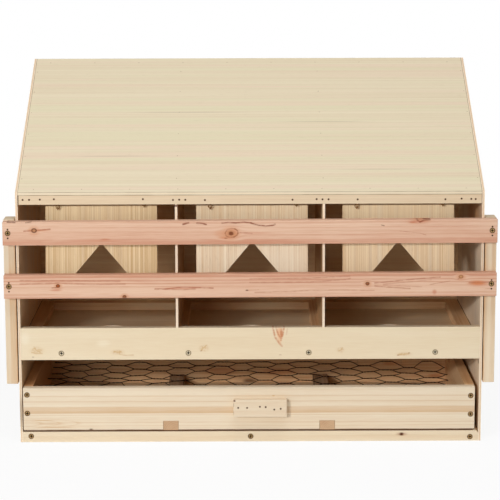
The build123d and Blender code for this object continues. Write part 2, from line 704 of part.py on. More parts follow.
def drawer_batten(x):
    """Batten under the drawer's bottom, let into its end boards."""
    half = BATTEN_WIDTH / 2
    return bar((x - half, x + half), (0, drawer_length), (drawer_foot, drawer_foot + BATTEN_HEIGHT))


def drawer_handle():
    """Block that the drawer is pulled by."""
    x = (handle_x - HANDLE_WIDTH / 2, handle_x + HANDLE_WIDTH / 2)
    z = (handle_z - HANDLE_HEIGHT / 2, handle_z + HANDLE_HEIGHT / 2)
    return drilled(planed(x, (-HANDLE_THICK, 0), z), handle_holes)


def clipped(points, axis, limit, keep):
    """Part of a convex outline on one side of a limit."""
    kept = []
    for here, there in zip(points, points[1:] + points[:1]):
        near = keep * (here[axis] - limit)
        far = keep * (there[axis] - limit)
        if near >= 0:
            kept.append(here)
        if near * far < 0:
            share = near / (near - far)
            kept.append(tuple(a + share * (b - a) for a, b in zip(here, there)))
    return kept


def outline_area(points):
    """Area inside an outline."""
    pairs = zip(points, points[1:] + points[:1])
    return abs(sum(a[0] * b[1] - b[0] * a[1] for a, b in pairs)) / 2


def net_cell(x, y):
    """Gap of one hexagonal cell, between its wires."""
    half_row = net_row / 2
    slant = NET_COLUMN - NET_TWIST
    tip = NET_TWIST / 2 + slant
    edge = NET_WIRE / 2 * hypot(half_row, slant)
    top = half_row - NET_WIRE / 2
    shoulder = tip - (top * slant + edge) / half_row
    point = tip - edge / half_row
    return [
        (x - shoulder, y - top), (x + shoulder, y - top), (x + point, y),
        (x + shoulder, y + top), (x - shoulder, y + top), (x - point, y),
    ]


def drawer_net():
    """Hexagonal wire net across the drawer, as one sheet with a gap for each cell."""
    gap_x = (net_x[0] + NET_WIRE, net_x[1] - NET_WIRE)
    gap_y = (inside_y[0] + NET_WIRE, inside_y[1] - NET_WIRE)
    gaps = []
    for column in range(-net_columns, net_columns + 1):
        for row in range(net_half_rows // 2 + 1):
            middle_y = inside_y[0] + net_row * (row + (column % 2) / 2)
            cell = net_cell(DRAWER_SHIFT + column * NET_COLUMN, middle_y)
            for axis, (low, high) in enumerate((gap_x, gap_y)):
                cell = clipped(clipped(cell, axis, low, 1), axis, high, -1)
            if outline_area(cell) > NET_LEAST_CELL:
                gaps.append(Wire.make_polygon([(a, b, net_z[0]) for a, b in cell]))
    rim = [(net_x[i], inside_y[j], net_z[0]) for i, j in ((0, 0), (1, 0), (1, 1), (0, 1))]
    sheet = Face(Wire.make_polygon(rim), gaps)
    return extrude(sheet, amount=NET_WIRE, dir=(0, 0, 1))


def all_pieces():
    """Every named piece, as one solid or a list of like solids."""
    pieces = {
        "left_side_panel": side_panel((-body_half, -inner_half), left_holes),
        "right_side_panel": side_panel((inner_half, body_half), right_holes),
        "left_partition": partition(-partition_x),
        "right_partition": partition(partition_x),
        "back_panel": back_panel(),
        "roof_panel": roof_panel(),
        "roof_header": roof_header(),
        "left_roof_cleat": roof_cleat((-inner_half, ROOF_CLEAT - inner_half)),
        "right_roof_cleat": roof_cleat((inner_half - ROOF_CLEAT, inner_half)),
        "rear_roof_rail": rear_roof_rail(),
        "nest_floor": nest_floor(),
        "nest_lip_board": nest_lip_board(),
        "left_floor_cleat": side_floor_cleat((-inner_half, CLEAT_WIDTH - inner_half)),
        "right_floor_cleat": side_floor_cleat((inner_half - CLEAT_WIDTH, inner_half)),
        "rear_floor_cleats": rear_floor_cleats(),
        "partition_cleats": partition_cleats(),
        "front_sill": front_sill(),
        "rear_sill": rear_sill(),
        "left_drawer_runner": drawer_runner((-inner_half, RUNNER_WIDTH - inner_half)),
        "middle_drawer_runner": drawer_runner((-RUNNER_WIDTH / 2, RUNNER_WIDTH / 2)),
        "right_drawer_runner": drawer_runner((inner_half - RUNNER_WIDTH, inner_half)),
        "header_eyes": header_eyes,
        "lip_screws": lip_screws,
        "sill_screws": sill_screws,
        "roof_nails": roof_nails,
        "header_pins": header_pins,
        "side_nails": left_nails + right_nails,
        "back_nails": back_nails + nest_nails,
        "pivot_bolts": [left_pivot[0], right_pivot[0]],
        "pivot_washers": [left_pivot[2], right_pivot[2]],
        "pivot_sleeves": [left_pivot[3], right_pivot[3]],
        "left_perch_post": perch_post(-1, left_pivot[1]),
        "right_perch_post": perch_post(1, right_pivot[1]),
        "upper_perch_rail": perch_rail(upper_rail_mid),
        "lower_perch_rail": perch_rail(lower_rail_mid),
        "perch_screws": perch_screws,
        "perch_pins": perch_pins,
        "drawer_front": drawer_end((0, DRAWER_BOARD), front_holes, handle_holes, *front_slots),
        "drawer_back": drawer_end((inside_y[1], drawer_length), rear_holes, *rear_slots),
        "drawer_left_side": drawer_side((drawer_x[0], inside_x[0])),
        "drawer_right_side": drawer_side((inside_x[1], drawer_x[1])),
        "drawer_bottom": drawer_bottom(),
        "drawer_left_batten": drawer_batten(batten_mids[0]),
        "drawer_right_batten": drawer_batten(batten_mids[1]),
        "drawer_net": drawer_net(),
        "net_staples": front_staples + rear_staples,
        "drawer_handle": drawer_handle(),
        "handle_brads": handle_brads,
        "drawer_screws": front_screws + rear_screws,
    }
    flaps = zip(("left", "middle", "right"), flap_centres, eye_middles, NOTCH_RISES)
    for name, centre, eye_middle, rise in flaps:
        board, eyes = flap_pieces(centre, eye_middle, rise)
        pieces[f"{name}_flap"] = board
        pieces[f"{name}_flap_eyes"] = eyes
    return pieces


os.makedirs("parts", exist_ok=True)
to_origin = Pos(0, -centre_y, 0)
for node, piece in all_pieces().items():
    group = piece if isinstance(piece, (list, tuple)) else [piece]
    solids = [to_origin * solid for shape in group for solid in shape.solids()]
    export_step(Compound(solids) if len(solids) > 1 else solids[0], f"parts/{node}.step")

print("flap lean, degrees:", round(degrees(flap_lean), 3))
print("swing axis y and mean z:", round(swing_y - centre_y, 3), round(swing_z, 3))
print("flap centres:", [round(c, 3) for c in flap_centres], "eyes at +-", round(eye_half, 3))
print("perch pivot y and z:", round(pivot_y - centre_y, 3), round(pivot_z, 3))
print("lip, floor and roof heights:", [round(z, 3) for z in (lip_foot, floor_top, front_height)])
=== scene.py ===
import json
import math
import random

import bmesh
import bpy
from mathutils import Matrix, Vector


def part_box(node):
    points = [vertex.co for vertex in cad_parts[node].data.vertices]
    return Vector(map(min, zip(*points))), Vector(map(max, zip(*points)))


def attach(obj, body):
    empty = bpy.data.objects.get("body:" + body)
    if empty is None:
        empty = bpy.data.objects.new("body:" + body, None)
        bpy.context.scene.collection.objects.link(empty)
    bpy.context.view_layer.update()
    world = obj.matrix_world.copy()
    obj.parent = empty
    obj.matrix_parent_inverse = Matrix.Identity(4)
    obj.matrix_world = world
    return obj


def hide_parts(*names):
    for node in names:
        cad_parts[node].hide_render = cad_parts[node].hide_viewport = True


# A laying box for hens: the looks of its planed softwood, plywood, steel and wire net.
# Objects are in metres. Materials count in millimetres of the same frame, so that a knot,
# a band or a ring of the wood has its real size and place.

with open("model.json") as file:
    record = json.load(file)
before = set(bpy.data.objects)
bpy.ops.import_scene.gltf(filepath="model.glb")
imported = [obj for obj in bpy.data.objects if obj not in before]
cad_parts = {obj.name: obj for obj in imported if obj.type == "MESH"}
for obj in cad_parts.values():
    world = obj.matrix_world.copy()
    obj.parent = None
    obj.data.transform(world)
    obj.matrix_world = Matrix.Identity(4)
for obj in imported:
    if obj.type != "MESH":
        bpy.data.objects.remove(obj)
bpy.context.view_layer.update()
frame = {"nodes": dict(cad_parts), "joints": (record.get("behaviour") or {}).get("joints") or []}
nodes = frame["nodes"]
scene = bpy.context.scene
MM = 1000.0

# Camera at the photograph's place: metres and degrees
CAMERA_PLACE = (-0.01085, -3.8928, 1.0326)
CAMERA_PITCH = 10.085  # looking down
CAMERA_YAW = 0.165  # to the right
CAMERA_ROLL = -0.17
FOCAL_PIXELS = 1981.8
IMAGE_PIXELS = 500
SENSOR = 36

# Lamps from the front left, overhead and ahead: name, place, width and height, power in watts
LAMPS = (
    ("main_lamp", (-2.45, -4.7, 1.68), (0.8, 0.26), 99),
    ("top_lamp", (0.2, -1.3, 3.5), (2.6, 1.8), 56),
    ("fill_lamp", (-1.3, -4.55, 1.28), (1.2, 0.7), 36),
)
LIGHT_AIM = (0, 0, 0.35)
WORLD_LIGHT = 0.225  # glow all round

# Floor: white where it is seen, with a share of its own paint near the box to keep the shadow
FLOOR_SIZE = 60
FLOOR_PAINT = (0.9, 0.9, 0.9, 1)
WHITE = (1, 1, 1, 1)
FLOOR_GLOW = 0.9  # share of white near the box
FLOOR_FADE = (0.7, 1.5)  # up to the first distance, and all white from the second, metres
FLOOR_WALLS = (0.95, 0.99)  # no white inside the box: shares of the way from its middle to its walls

# Sheets and fasteners: degrees about X, and mm
ROOF_SLOPE = 28.11
ROOF_FRONT_TOP = 486.2  # roof's upper face at the front
ROOF_PLY = 5
FLAP_LEAN = -8.5485
FLAP_PLY = 5
EYE_STANDOFF = 7  # flap's face behind its swing axis
SCREW_WIDTH = 9.4  # screw heads
PIN_WIDTH = 2.4  # and the stouter pins
HEAD_SLACK = 0.5  # more than a head's width, to gather its points
HEAD_RECESS = (0.9, 2.4)  # soft edges on a screw head, from its middle
HEAD_RIM = (3.2, 4.3)
HEAD_DEPTH = (0.4, 1)  # and from its face
SCREW_HALO = 4.9

# Planed wood: lengths along the grain and across it, mm
SLOW_WAVES = (330, 60)
QUICK_WAVES = (60, 14)
QUICK_SHARE = 0.25  # height of the quick waves, as a share of the slow ones
PATCHES = (420, 20)
BROAD_TONES = (240, 34)
FIBRES = (34, 0.8)
RING_LUMPS = (11, 11, 11)
RING_UNEVEN = 1.1  # how far rings stray, counted in rings
ARRIS = (0.5, 2)  # worn wood, by the distance from both faces of an edge
WOOD_BUMP = 0.12
WOOD_ROUGHNESS = 0.62

# Plywood: lengths along the grain, and across it in stripes or in mm
WIDE_STRIPES = (1500, 5)
TINT_STRIPES = (1400, 9)
NARROW_STRIPES = (900, 1)
VENEER_FIBRES = (90, 0.7)
TICKS = (16, 0.7)
THROUGH_SHEET = 300  # lengths through the sheet, so that a leaning one shows no breaks
ROUGH_END = (1.2, 1.2, 1.2)
# Plies from one face to the other: share of the thickness, share of the core's colour
THREE_PLY = [(0, 0.05), (0.26, 0.1), (0.34, 0.75), (0.64, 0.85), (0.74, 0.1), (1, 0.05)]
PLY_BUMP = 0.08
PLY_ROUGHNESS = 0.6

# Soft edges of what is painted on the wood, in its own size
MARK_EDGE = (0.2, 1)
STAIN_EDGE = (0.3, 1)
HAZE_EDGE = (0.9, 2.8)
KNOT_RING_EDGE = (0.85, 1.2)
KNOT_HEART_EDGE = (0.35, 0.7)
LINE_EDGE = (0.1, 1.1)
HALO_EDGE = 1.2  # and this one in mm
RAGGED = 0.4  # how far fibres shift an edge
FLAME_RAGGED = 0.08

# Steel, and the shine of everything
METAL_BUMP = 0.03
SCREW_ROUGHNESS = 0.45
SPECULAR = 0.06


def srgb(red, green, blue):
    """Colour written as 0 to 255 on a screen, as the linear colour that a shader takes."""
    def linear(value):
        share = value / 255
        return share / 12.92 if share <= 0.04045 else ((share + 0.055) / 1.055) ** 2.4
    return (linear(red), linear(green), linear(blue), 1.0)


def shaded(colour, share):
    """Same colour, lighter or darker."""
    return tuple(part * share for part in colour[:3]) + (1.0,)


# Woods: a light and a dark colour
LIP_WOOD = (srgb(233, 219, 191), srgb(211, 181, 140))
DRAWER_DARK = srgb(205, 168, 126)
DRAWER_WOOD = (srgb(232, 219, 196), DRAWER_DARK)
HEADER_WOOD = (srgb(226, 207, 178), srgb(201, 170, 134))
SILL_WOOD = (srgb(233, 219, 193), srgb(210, 181, 144))
ROOF_WOOD = (srgb(235, 224, 198), srgb(212, 192, 158))
# Faces inside the box: warmer and darker, as painted shade
SHADED_INNER_WOOD = (srgb(246, 211, 164), srgb(222, 172, 120))
# Partitions: the same ply, warmer and darker as painted shade
SHADED_WALL_WOOD = (srgb(226, 188, 142), srgb(200, 148, 100))
FLOOR_WOOD = (srgb(249, 226, 190), srgb(230, 192, 148))
RAIL_WOOD = (srgb(226, 194, 168), srgb(190, 128, 100))
POST_WOOD = (srgb(228, 213, 188), srgb(204, 164, 120))
ROUGH_WOOD = (srgb(244, 206, 160), srgb(214, 158, 110))
# painted shade: the drawer's left side darkened where the left panel shades it
SHADED_DRAWER_SIDE_WOOD = (srgb(232, 182, 134), srgb(196, 140, 96))
CLEAT_WOOD = (srgb(240, 198, 150), srgb(214, 162, 114))
BATTEN_WOOD = (srgb(204, 172, 138), srgb(178, 138, 104))
INSIDE_WOOD = (srgb(240, 200, 154), srgb(206, 152, 106))

# Other colours
ROOF_PINK = srgb(230, 207, 184)
ROOF_GREEN = srgb(223, 215, 182)
FLAP_GREY = srgb(226, 208, 182)
# pale colour of painted light inside the nests
PAINTED_LIGHT_PALE = srgb(255, 228, 186)
EDGE_PALE = srgb(246, 230, 208)
PLIES = (EDGE_PALE, srgb(214, 178, 136))
PORE = srgb(140, 100, 62)
BROWN = srgb(150, 92, 58)
RED = srgb(190, 116, 84)
TAN = srgb(198, 158, 104)
DARK = srgb(80, 40, 22)
HAZE = srgb(202, 140, 102)
FLAME = srgb(192, 122, 84)
PEACH = srgb(226, 178, 138)
CLOUD = srgb(244, 236, 216)
STREAK = srgb(164, 94, 66)
SCAR = srgb(92, 48, 28)
CRACK = srgb(126, 62, 38)
ORANGE = srgb(200, 122, 78)
GREY = srgb(150, 134, 112)
SHADOW = srgb(88, 52, 28)
RECESS = srgb(34, 22, 12)
COUNTERSINK = srgb(120, 88, 58)
TAN_EDGE = srgb(196, 144, 92)
SEAM = srgb(140, 112, 80)
GREY_SEAM = srgb(150, 128, 102)
# painted light that lifts the flap tops out of the shade under the header
PAINTED_FLAP_TOP_LIGHT = srgb(255, 236, 196)


class Graph:
    """Nodes of one material or of the world. Its calls take numbers or sockets and return sockets."""

    def __init__(self, owner):
        self.owner = owner
        owner.use_nodes = True
        self.tree = owner.node_tree
        self.tree.nodes.clear()

    def node(self, kind, inputs=(), **settings):
        made = self.tree.nodes.new("ShaderNode" + kind)
        for key, value in settings.items():
            setattr(made, key, value)
        for key, value in dict(inputs).items():
            self.feed(made.inputs[key], value)
        return made

    def feed(self, socket, value):
        if isinstance(value, bpy.types.NodeSocket):
            self.tree.links.new(value, socket)
        else:
            socket.default_value = value

    def math(self, operation, *values):
        return self.node("Math", enumerate(values), operation=operation).outputs[0]

    def add(self, first, *more):
        for value in more:
            first = self.math("ADD", first, value)
        return first

    def minus(self, first, second):
        return self.math("SUBTRACT", first, second)

    def times(self, first, second):
        return self.math("MULTIPLY", first, second)

    def over(self, first, second):
        return self.math("DIVIDE", first, second)

    def least(self, first, *more):
        for value in more:
            first = self.math("MINIMUM", first, value)
        return first

    def most(self, first, second):
        return self.math("MAXIMUM", first, second)

    def absolute(self, value):
        return self.math("ABSOLUTE", value)

    def hypot(self, first, second):
        return self.math("SQRT", self.add(self.times(first, first), self.times(second, second)))

    def vector(self, operation, *values, output=0):
        return self.node("VectorMath", enumerate(values), operation=operation).outputs[output]

    def measure(self, operation, *values):
        """Number that comes out of vectors."""
        return self.vector(operation, *values, output="Value")

    def dot(self, vector, direction):
        return self.measure("DOT_PRODUCT", vector, direction)

    def split(self, vector):
        return self.node("SeparateXYZ", {0: vector}).outputs[:]

    def place(self):
        """Place on the piece at rest, in millimetres."""
        coords = self.node("TexCoord").outputs["Object"]
        return self.vector("MULTIPLY", coords, (MM, MM, MM))

    def facing(self):
        """Direction that the surface faces, in the piece's own frame."""
        return self.node("TexCoord").outputs["Normal"]

    def noise(self, vector, lengths, detail=2.0, roughness=0.5):
        """Cloudy values around 0.5, with lumps of the given lengths along X, Y and Z."""
        scaled = self.vector("DIVIDE", vector, lengths)
        inputs = {"Vector": scaled, "Scale": 1.0, "Detail": detail, "Roughness": roughness}
        return self.node("TexNoise", inputs).outputs[0]

    def about(self, value, reach):
        """Cloudy value turned into a spread from about -reach to reach."""
        return self.math("MULTIPLY_ADD", value, 2 * reach, -reach)

    def smooth(self, value, low, high, first=0.0, last=1.0):
        """Soft step from one value to another as the input goes from low to high."""
        inputs = {0: value, 1: low, 2: high, 3: first, 4: last}
        return self.node("MapRange", inputs, interpolation_type="SMOOTHSTEP").outputs[0]

    def fade(self, away, edge, amount):
        """Strength that falls from an amount to nothing between two distances."""
        return self.smooth(away, *edge, amount, 0.0)

    def mix(self, factor, under, over):
        made = self.node("Mix", {0: factor, 6: under, 7: over}, data_type="RGBA")
        return made.outputs[2]

    def profile(self, value, stops):
        """Height read off a line through (place, height) points."""
        low = stops[0][0]
        span = stops[-1][0] - low
        share = self.node("MapRange", {0: value, 1: low, 2: low + span}).outputs[0]
        ramp = self.node("ValToRGB", {0: share})
        points = ramp.color_ramp.elements
        for position, _ in stops[1:-1]:
            points.new((position - low) / span)
        for point, (position, height) in zip(points, stops):
            point.position = (position - low) / span
            point.color = (height, height, height, 1.0)
        return ramp.outputs[0]

    def seen(self):
        """1 where something is seen, also in metal or glass, and 0 where it only gives light."""
        path = self.node("LightPath").outputs
        direct = self.most(path["Is Camera Ray"], path["Is Glossy Ray"])
        return self.most(direct, path["Is Transmission Ray"])

    def surface(self, colour, roughness, height, depth, metallic=0.0):
        """Finished material, with a bump of the given depth in millimetres."""
        bump = self.node("Bump", {"Height": height, "Distance": depth / MM, "Strength": 1.0})
        inputs = {"Base Color": colour, "Roughness": roughness, "Metallic": metallic,
                  "Specular IOR Level": SPECULAR, "Normal": bump.outputs[0]}
        shader = self.node("BsdfPrincipled", inputs)
        self.node("OutputMaterial", {0: shader.outputs[0]})
        return self.owner


def new_material(name):
    """Graph of a new material, still empty."""
    return Graph(bpy.data.materials.new(name))


def add_object(name, data):
    made = bpy.data.objects.new(name, data)
    scene.collection.objects.link(made)
    return made


def dress(material, *names):
    """Give CAD pieces a material."""
    for name in names:
        mesh = nodes[name].data
        mesh.materials.clear()
        mesh.materials.append(material)


# Which of X, Y and Z the grain follows, then the two axes across it
GRAIN_AXES = {"X": (0, 2, 1), "Y": (1, 0, 2), "Z": (2, 0, 1)}
SHIFT = Vector((1370, 710, 530))  # how far apart the woods of two pieces are taken


def grain_lengths(along, long, short, sheet=None):
    """Lengths on X, Y and Z: long with the grain, short across it, and their own through a sheet."""
    lengths = dict.fromkeys("XYZ", short)
    if sheet:
        lengths[sheet] = THROUGH_SHEET
    lengths[along] = long
    return tuple(lengths.values())


def along_grain(g, place, along):
    """Place with the grain, then across it."""
    parts = g.split(place)
    return [parts[axis] for axis in GRAIN_AXES[along]]


def edge_away(g, value, low, high):
    """Distance to the nearer of two edges."""
    return g.least(g.minus(value, low), g.minus(high, value))


def spot(g, u, v, centre, size):
    """Distance from a place on the piece's face, counted in the spot's own size."""
    return g.hypot(g.over(g.minus(u, centre[0]), size[0]), g.over(g.minus(v, centre[1]), size[1]))


def line_away(g, flat, points):
    """Distance from a line through some places on the piece's face."""
    aways = []
    for start, end in zip(points, points[1:]):
        run = Vector((end[0] - start[0], end[1] - start[1], 0.0))
        offset = g.vector("SUBTRACT", flat, (start[0], start[1], 0.0))
        share = g.node("Clamp", {0: g.dot(offset, run / run.length_squared)}).outputs[0]
        foot = g.node("VectorMath", {0: run, "Scale": share}, operation="SCALE").outputs[0]
        aways.append(g.measure("DISTANCE", offset, foot))
    return g.least(*aways)


def paint_marks(g, colour, u, v, ragged, marks):
    """Stains and scratches on the face: (place, size, colour, strength) each."""
    for centre, size, stain, amount in marks:
        away = g.add(spot(g, u, v, centre, size), ragged)
        colour = g.mix(g.fade(away, MARK_EDGE, amount), colour, stain)
    return colour


def paint_knots(g, colour, u, v, ragged, knots):
    """Knots in a haze: (place, radius, colours of the ring and the heart, strength) each."""
    for centre, radius, ring, heart, amount in knots:
        away = g.add(spot(g, u, v, centre, (1.2 * radius, radius)), ragged)
        colour = g.mix(g.fade(away, HAZE_EDGE, 0.65 * amount), colour, HAZE)
        colour = g.mix(g.fade(away, KNOT_RING_EDGE, amount), colour, ring)
        colour = g.mix(g.fade(away, KNOT_HEART_EDGE, amount), colour, heart)
    return colour


def paint_lines(g, colour, u, v, ragged, lines):
    """Cracks and single grain lines: (half width, colour, strength, then places along it) each."""
    flat = g.node("CombineXYZ", {0: u, 1: v}).outputs[0]
    broken = g.smooth(g.noise(flat, (11, 4, 4)), 0.32, 0.6, 0.4, 1.0)
    for half, stain, amount, *points in lines:
        away = g.add(line_away(g, flat, points), g.times(ragged, 1.4 * half))
        line = g.fade(away, [share * half for share in LINE_EDGE], amount)
        colour = g.mix(g.times(line, broken), colour, stain)
    return colour


def paint_blooms(g, colour, place, u, v, blooms):
    """Speckled patches: (place, size, colour, strength) each."""
    speckle = g.smooth(g.noise(place, (3.6, 3.6, 3.6), 3.0, 0.65), 0.42, 0.62)
    for centre, size, stain, amount in blooms:
        near = g.fade(spot(g, u, v, centre, size), STAIN_EDGE, amount)
        colour = g.mix(g.times(near, speckle), colour, stain)
    return colour


def paint_stains(g, colour, place, ragged, stains):
    """Stains and chips in the solid: (place, size, colour, strength) each, along X, Y and Z."""
    for centre, size, stain, amount in stains:
        offset = g.vector("DIVIDE", g.vector("SUBTRACT", place, centre), size)
        away = g.add(g.measure("LENGTH", offset), ragged)
        colour = g.mix(g.fade(away, STAIN_EDGE, amount), colour, stain)
    return colour


def paint_seams(g, colour, place, seams):
    """Dark joint lines on the wood: (axis, place on it, half width, colour, strength) each."""
    parts = g.split(place)
    broken = g.smooth(g.noise(place, (40, 30, 30)), 0.35, 0.6, 0.7, 1.0)
    for axis, value, half, stain, amount in seams:
        away = g.absolute(g.minus(parts["XYZ".index(axis)], value))
        line = g.fade(away, [share * half for share in STAIN_EDGE], amount)
        colour = g.mix(g.times(line, broken), colour, stain)
    return colour


def centres(name, reach):
    """Middles of a piece's fasteners seen from the front, mm, each narrower than reach."""
    groups = []
    for vertex in nodes[name].data.vertices:
        x, z = vertex.co.x * MM, vertex.co.z * MM
        for group in groups:
            if math.hypot(x - group[0][0], z - group[0][1]) < reach:
                group.append((x, z))
                break
        else:
            groups.append([(x, z)])
    middles = []
    for group in groups:
        across, upward = zip(*group)
        middles.append(((min(across) + max(across)) / 2, (min(upward) + max(upward)) / 2))
    return middles


def nearest_head(g, place, name, width):
    """Distance to the middle of a piece's nearest fastener, seen from the front, mm."""
    x, _, z = g.split(place)
    heads = centres(name, width + HEAD_SLACK)
    return g.least(*[spot(g, x, z, head, (1, 1)) for head in heads])


def paint_halos(g, colour, place, halos):
    """Darker wood round fasteners: (piece, its width, radius, colour, strength) each."""
    for name, width, radius, stain, amount in halos:
        away = nearest_head(g, place, name, width)
        colour = g.mix(g.fade(away, (radius, radius + HALO_EDGE), amount), colour, stain)
    return colour


def screw_halos(name, amount):
    """Countersunk wood round a board's screws."""
    return ((name, SCREW_WIDTH, SCREW_HALO, COUNTERSINK, amount),)


def pin_halos(name, radius, amount):
    """Dark holes round a board's pins."""
    return ((name, PIN_WIDTH, radius, DARK, amount),)


def bend_round_knots(g, level, u, v, knots):
    """Height across the grain, with the grain led round each knot."""
    for centre, radius, *_ in knots:
        near = g.fade(spot(g, u, v, centre, (3.4 * radius, 2.2 * radius)), (0.0, 1.5), 1.3 * radius)
        side = g.smooth(g.minus(v, centre[1]), -radius, radius, -1.0, 1.0)
        level = g.minus(level, g.times(near, side))
    return level


def growth_rings(g, across, deep, pitch, shift):
    """Rings about a pith, each darkest at its outer edge, from 0 to 1."""
    reach = g.hypot(across, deep)
    line = g.node("CombineXYZ", {0: reach}).outputs[0]
    uneven = g.about(g.noise(g.vector("ADD", line, shift), RING_LUMPS), RING_UNEVEN)
    turn = g.math("FRACT", g.add(g.over(reach, pitch), uneven))
    return g.times(g.smooth(turn, 0.15, 0.85), g.fade(turn, (0.9, 1.0), 1.0))


def flame_lines(g, u, v, ragged, flames):
    """Nested arches of flat-sawn wood: (tip, direction, spread, pitch, reach, strength) each."""
    total = 0.0
    for tip, direction, spread, pitch, reach, amount in flames:
        ahead = g.times(g.minus(u, tip[0]), direction)
        side = g.minus(v, tip[1])
        phase = g.minus(ahead, g.over(g.times(side, side), spread))
        turn = g.math("FRACT", g.add(g.over(phase, pitch), ragged))
        line = g.times(g.smooth(turn, 0.55, 0.92), g.fade(turn, (0.93, 1.0), 1.0))
        started = g.smooth(phase, -0.1 * pitch, 0.3 * pitch)
        inside = g.times(started, g.fade(ahead, (0.6 * reach, reach), 1.0))
        total = g.add(g.times(g.times(line, inside), amount), total)
    return total


def board(node, along, wood, pith, pitch=5.0, rings=0.4, fibre=0.28, tone=0.25, wander=3.0, slope=0.0,
          base=0.2, bands=(), flames=(), knots=(), marks=(), blooms=(), lines=(), stains=(), halos=(),
          seams=(), shift=0):
    """Planed wood: growth rings about a pith, fibres, slow changes of tone, worn arrises, knots and marks.

    wood is a light and a dark colour. Places on the face are (along the grain, across it). The pith is
    given off the board's own middle."""
    light, dark = wood
    g = new_material(node + "_pine")
    place = g.place()
    u, v, w = along_grain(g, place, along)
    low, high = (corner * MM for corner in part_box(node))
    middle = (low + high) / 2
    first, second = GRAIN_AXES[along][1:]
    cloud = g.vector("ADD", place, SHIFT * shift)
    slow = g.about(g.noise(cloud, grain_lengths(along, *SLOW_WAVES), 1.0), wander)
    quick = g.about(g.noise(cloud, grain_lengths(along, *QUICK_WAVES), 1.0), QUICK_SHARE * wander)
    level = bend_round_knots(g, g.add(v, slow, quick, g.times(u, slope)), u, v, knots)
    across = g.minus(level, middle[first] + pith[0])
    deep = g.minus(w, middle[second] + pith[1])
    patchy = g.noise(cloud, grain_lengths(along, *PATCHES), 1.0)
    late = growth_rings(g, across, deep, pitch, SHIFT * shift)
    late = g.times(late, g.smooth(patchy, 0.35, 0.65, 0.3, 1.0))
    fibres = g.noise(cloud, grain_lengths(along, *FIBRES), 3.0, 0.6)
    broad = g.noise(cloud, grain_lengths(along, *BROAD_TONES))
    factor = g.add(g.times(late, rings), g.about(fibres, fibre), g.about(broad, tone), base)
    if bands:
        factor = g.add(factor, g.profile(level, bands))
    if flames:
        factor = g.add(factor, flame_lines(g, u, level, g.about(fibres, FLAME_RAGGED), flames))
    colour = g.mix(g.smooth(factor, -0.25, 1.25), light, dark)
    ragged = g.about(fibres, RAGGED)
    colour = paint_marks(g, colour, u, g.add(v, quick), ragged, marks)
    colour = paint_blooms(g, colour, place, u, v, blooms) if blooms else colour
    colour = paint_knots(g, colour, u, v, ragged, knots)
    colour = paint_lines(g, colour, u, v, ragged, lines) if lines else colour
    rim = g.add(edge_away(g, v, low[first], high[first]), edge_away(g, w, low[second], high[second]))
    colour = g.mix(g.fade(rim, ARRIS, 0.35), colour, shaded(light, 1.04))
    colour = paint_stains(g, colour, place, ragged, stains)
    colour = paint_halos(g, colour, place, halos)
    colour = paint_seams(g, colour, place, seams) if seams else colour
    height = g.minus(g.times(fibres, 0.8), g.times(late, 0.6))
    dress(g.surface(colour, WOOD_ROUGHNESS, height, WOOD_BUMP), node)


def square_sheet(node, axis):
    """Direction through a sheet that lies square to an axis, its first face and its thickness, mm."""
    index = "XYZ".index(axis)
    low, high = (corner[index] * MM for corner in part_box(node))
    return tuple(float(axis == other) for other in "XYZ"), low, high - low


def plywood(node, along, axis, wood, stripe, contrast, sheet=None, tints=(), edge=PLIES, inside=None,
            inner=SHADED_INNER_WOOD, marks=(), stains=(), seams=(), shift=0):
    """Plywood: straight veneer stripes on its faces, plies on its edges.

    axis is the one that the sheet lies square to, or nearly so. For a leaning sheet, sheet is the direction
    through it, the place of its first face and its thickness. edge has the colours of the plies, and inner
    those of the face that looks in the direction inside."""
    light, dark = wood
    direction, face, thickness = sheet or square_sheet(node, axis)
    g = new_material(node + "_ply")
    place = g.place()
    u, v, _ = along_grain(g, place, along)
    cloud = g.vector("ADD", place, SHIFT * shift)

    def stripes(vector, lengths, unit, detail, roughness=0.5):
        return g.noise(vector, grain_lengths(along, lengths[0], lengths[1] * unit, axis), detail, roughness)

    wide = stripes(cloud, WIDE_STRIPES, stripe, 1.0)
    narrow = stripes(cloud, NARROW_STRIPES, stripe, 2.0, 0.6)
    fibres = stripes(cloud, VENEER_FIBRES, 1.0, 2.0, 0.6)
    ticks = stripes(cloud, TICKS, 1.0, 0.0)
    factor = g.add(g.about(narrow, contrast), g.about(wide, 0.4 * contrast))
    factor = g.smooth(g.add(factor, g.about(fibres, 0.25 * contrast), 0.45), -0.1, 1.1)
    # Faces that look inside get the inner colours: painted shade, and painted light on the right side
    if inside:
        within = g.smooth(g.dot(g.facing(), inside), 0.5, 0.6)
        light = g.mix(within, light, inner[0])
        dark = g.mix(within, dark, inner[1])
    colour = g.mix(factor, light, dark)
    for count, (tint, amount) in enumerate(tints, 1):
        bands = stripes(g.vector("ADD", cloud, SHIFT * count), TINT_STRIPES, stripe, 1.0)
        colour = g.mix(g.smooth(bands, 0.48, 0.68, 0.0, amount), colour, tint)
    colour = g.mix(g.smooth(ticks, 0.7, 0.8, 0.0, 0.3 * contrast), colour, PORE)
    ragged = g.about(fibres, RAGGED)
    colour = paint_marks(g, colour, u, v, ragged, marks)
    depth = g.add(g.minus(g.dot(place, direction), face), g.about(fibres, 0.25))
    layers = g.profile(depth, [(share * thickness, height) for share, height in THREE_PLY])
    outer, core = edge
    rough = g.smooth(g.noise(cloud, ROUGH_END), 0.45, 0.7, 0.0, 0.2)
    plies = g.mix(rough, g.mix(layers, outer, core), shaded(core, 0.8))
    on_edge = g.fade(g.absolute(g.dot(g.facing(), direction)), (0.6, 0.8), 1.0)
    colour = g.mix(on_edge, colour, plies)
    colour = paint_stains(g, colour, place, ragged, stains)
    colour = paint_seams(g, colour, place, seams) if seams else colour
    height = g.minus(g.times(fibres, 0.6), g.times(narrow, 0.5))
    dress(g.surface(colour, PLY_ROUGHNESS, height, PLY_BUMP), node)


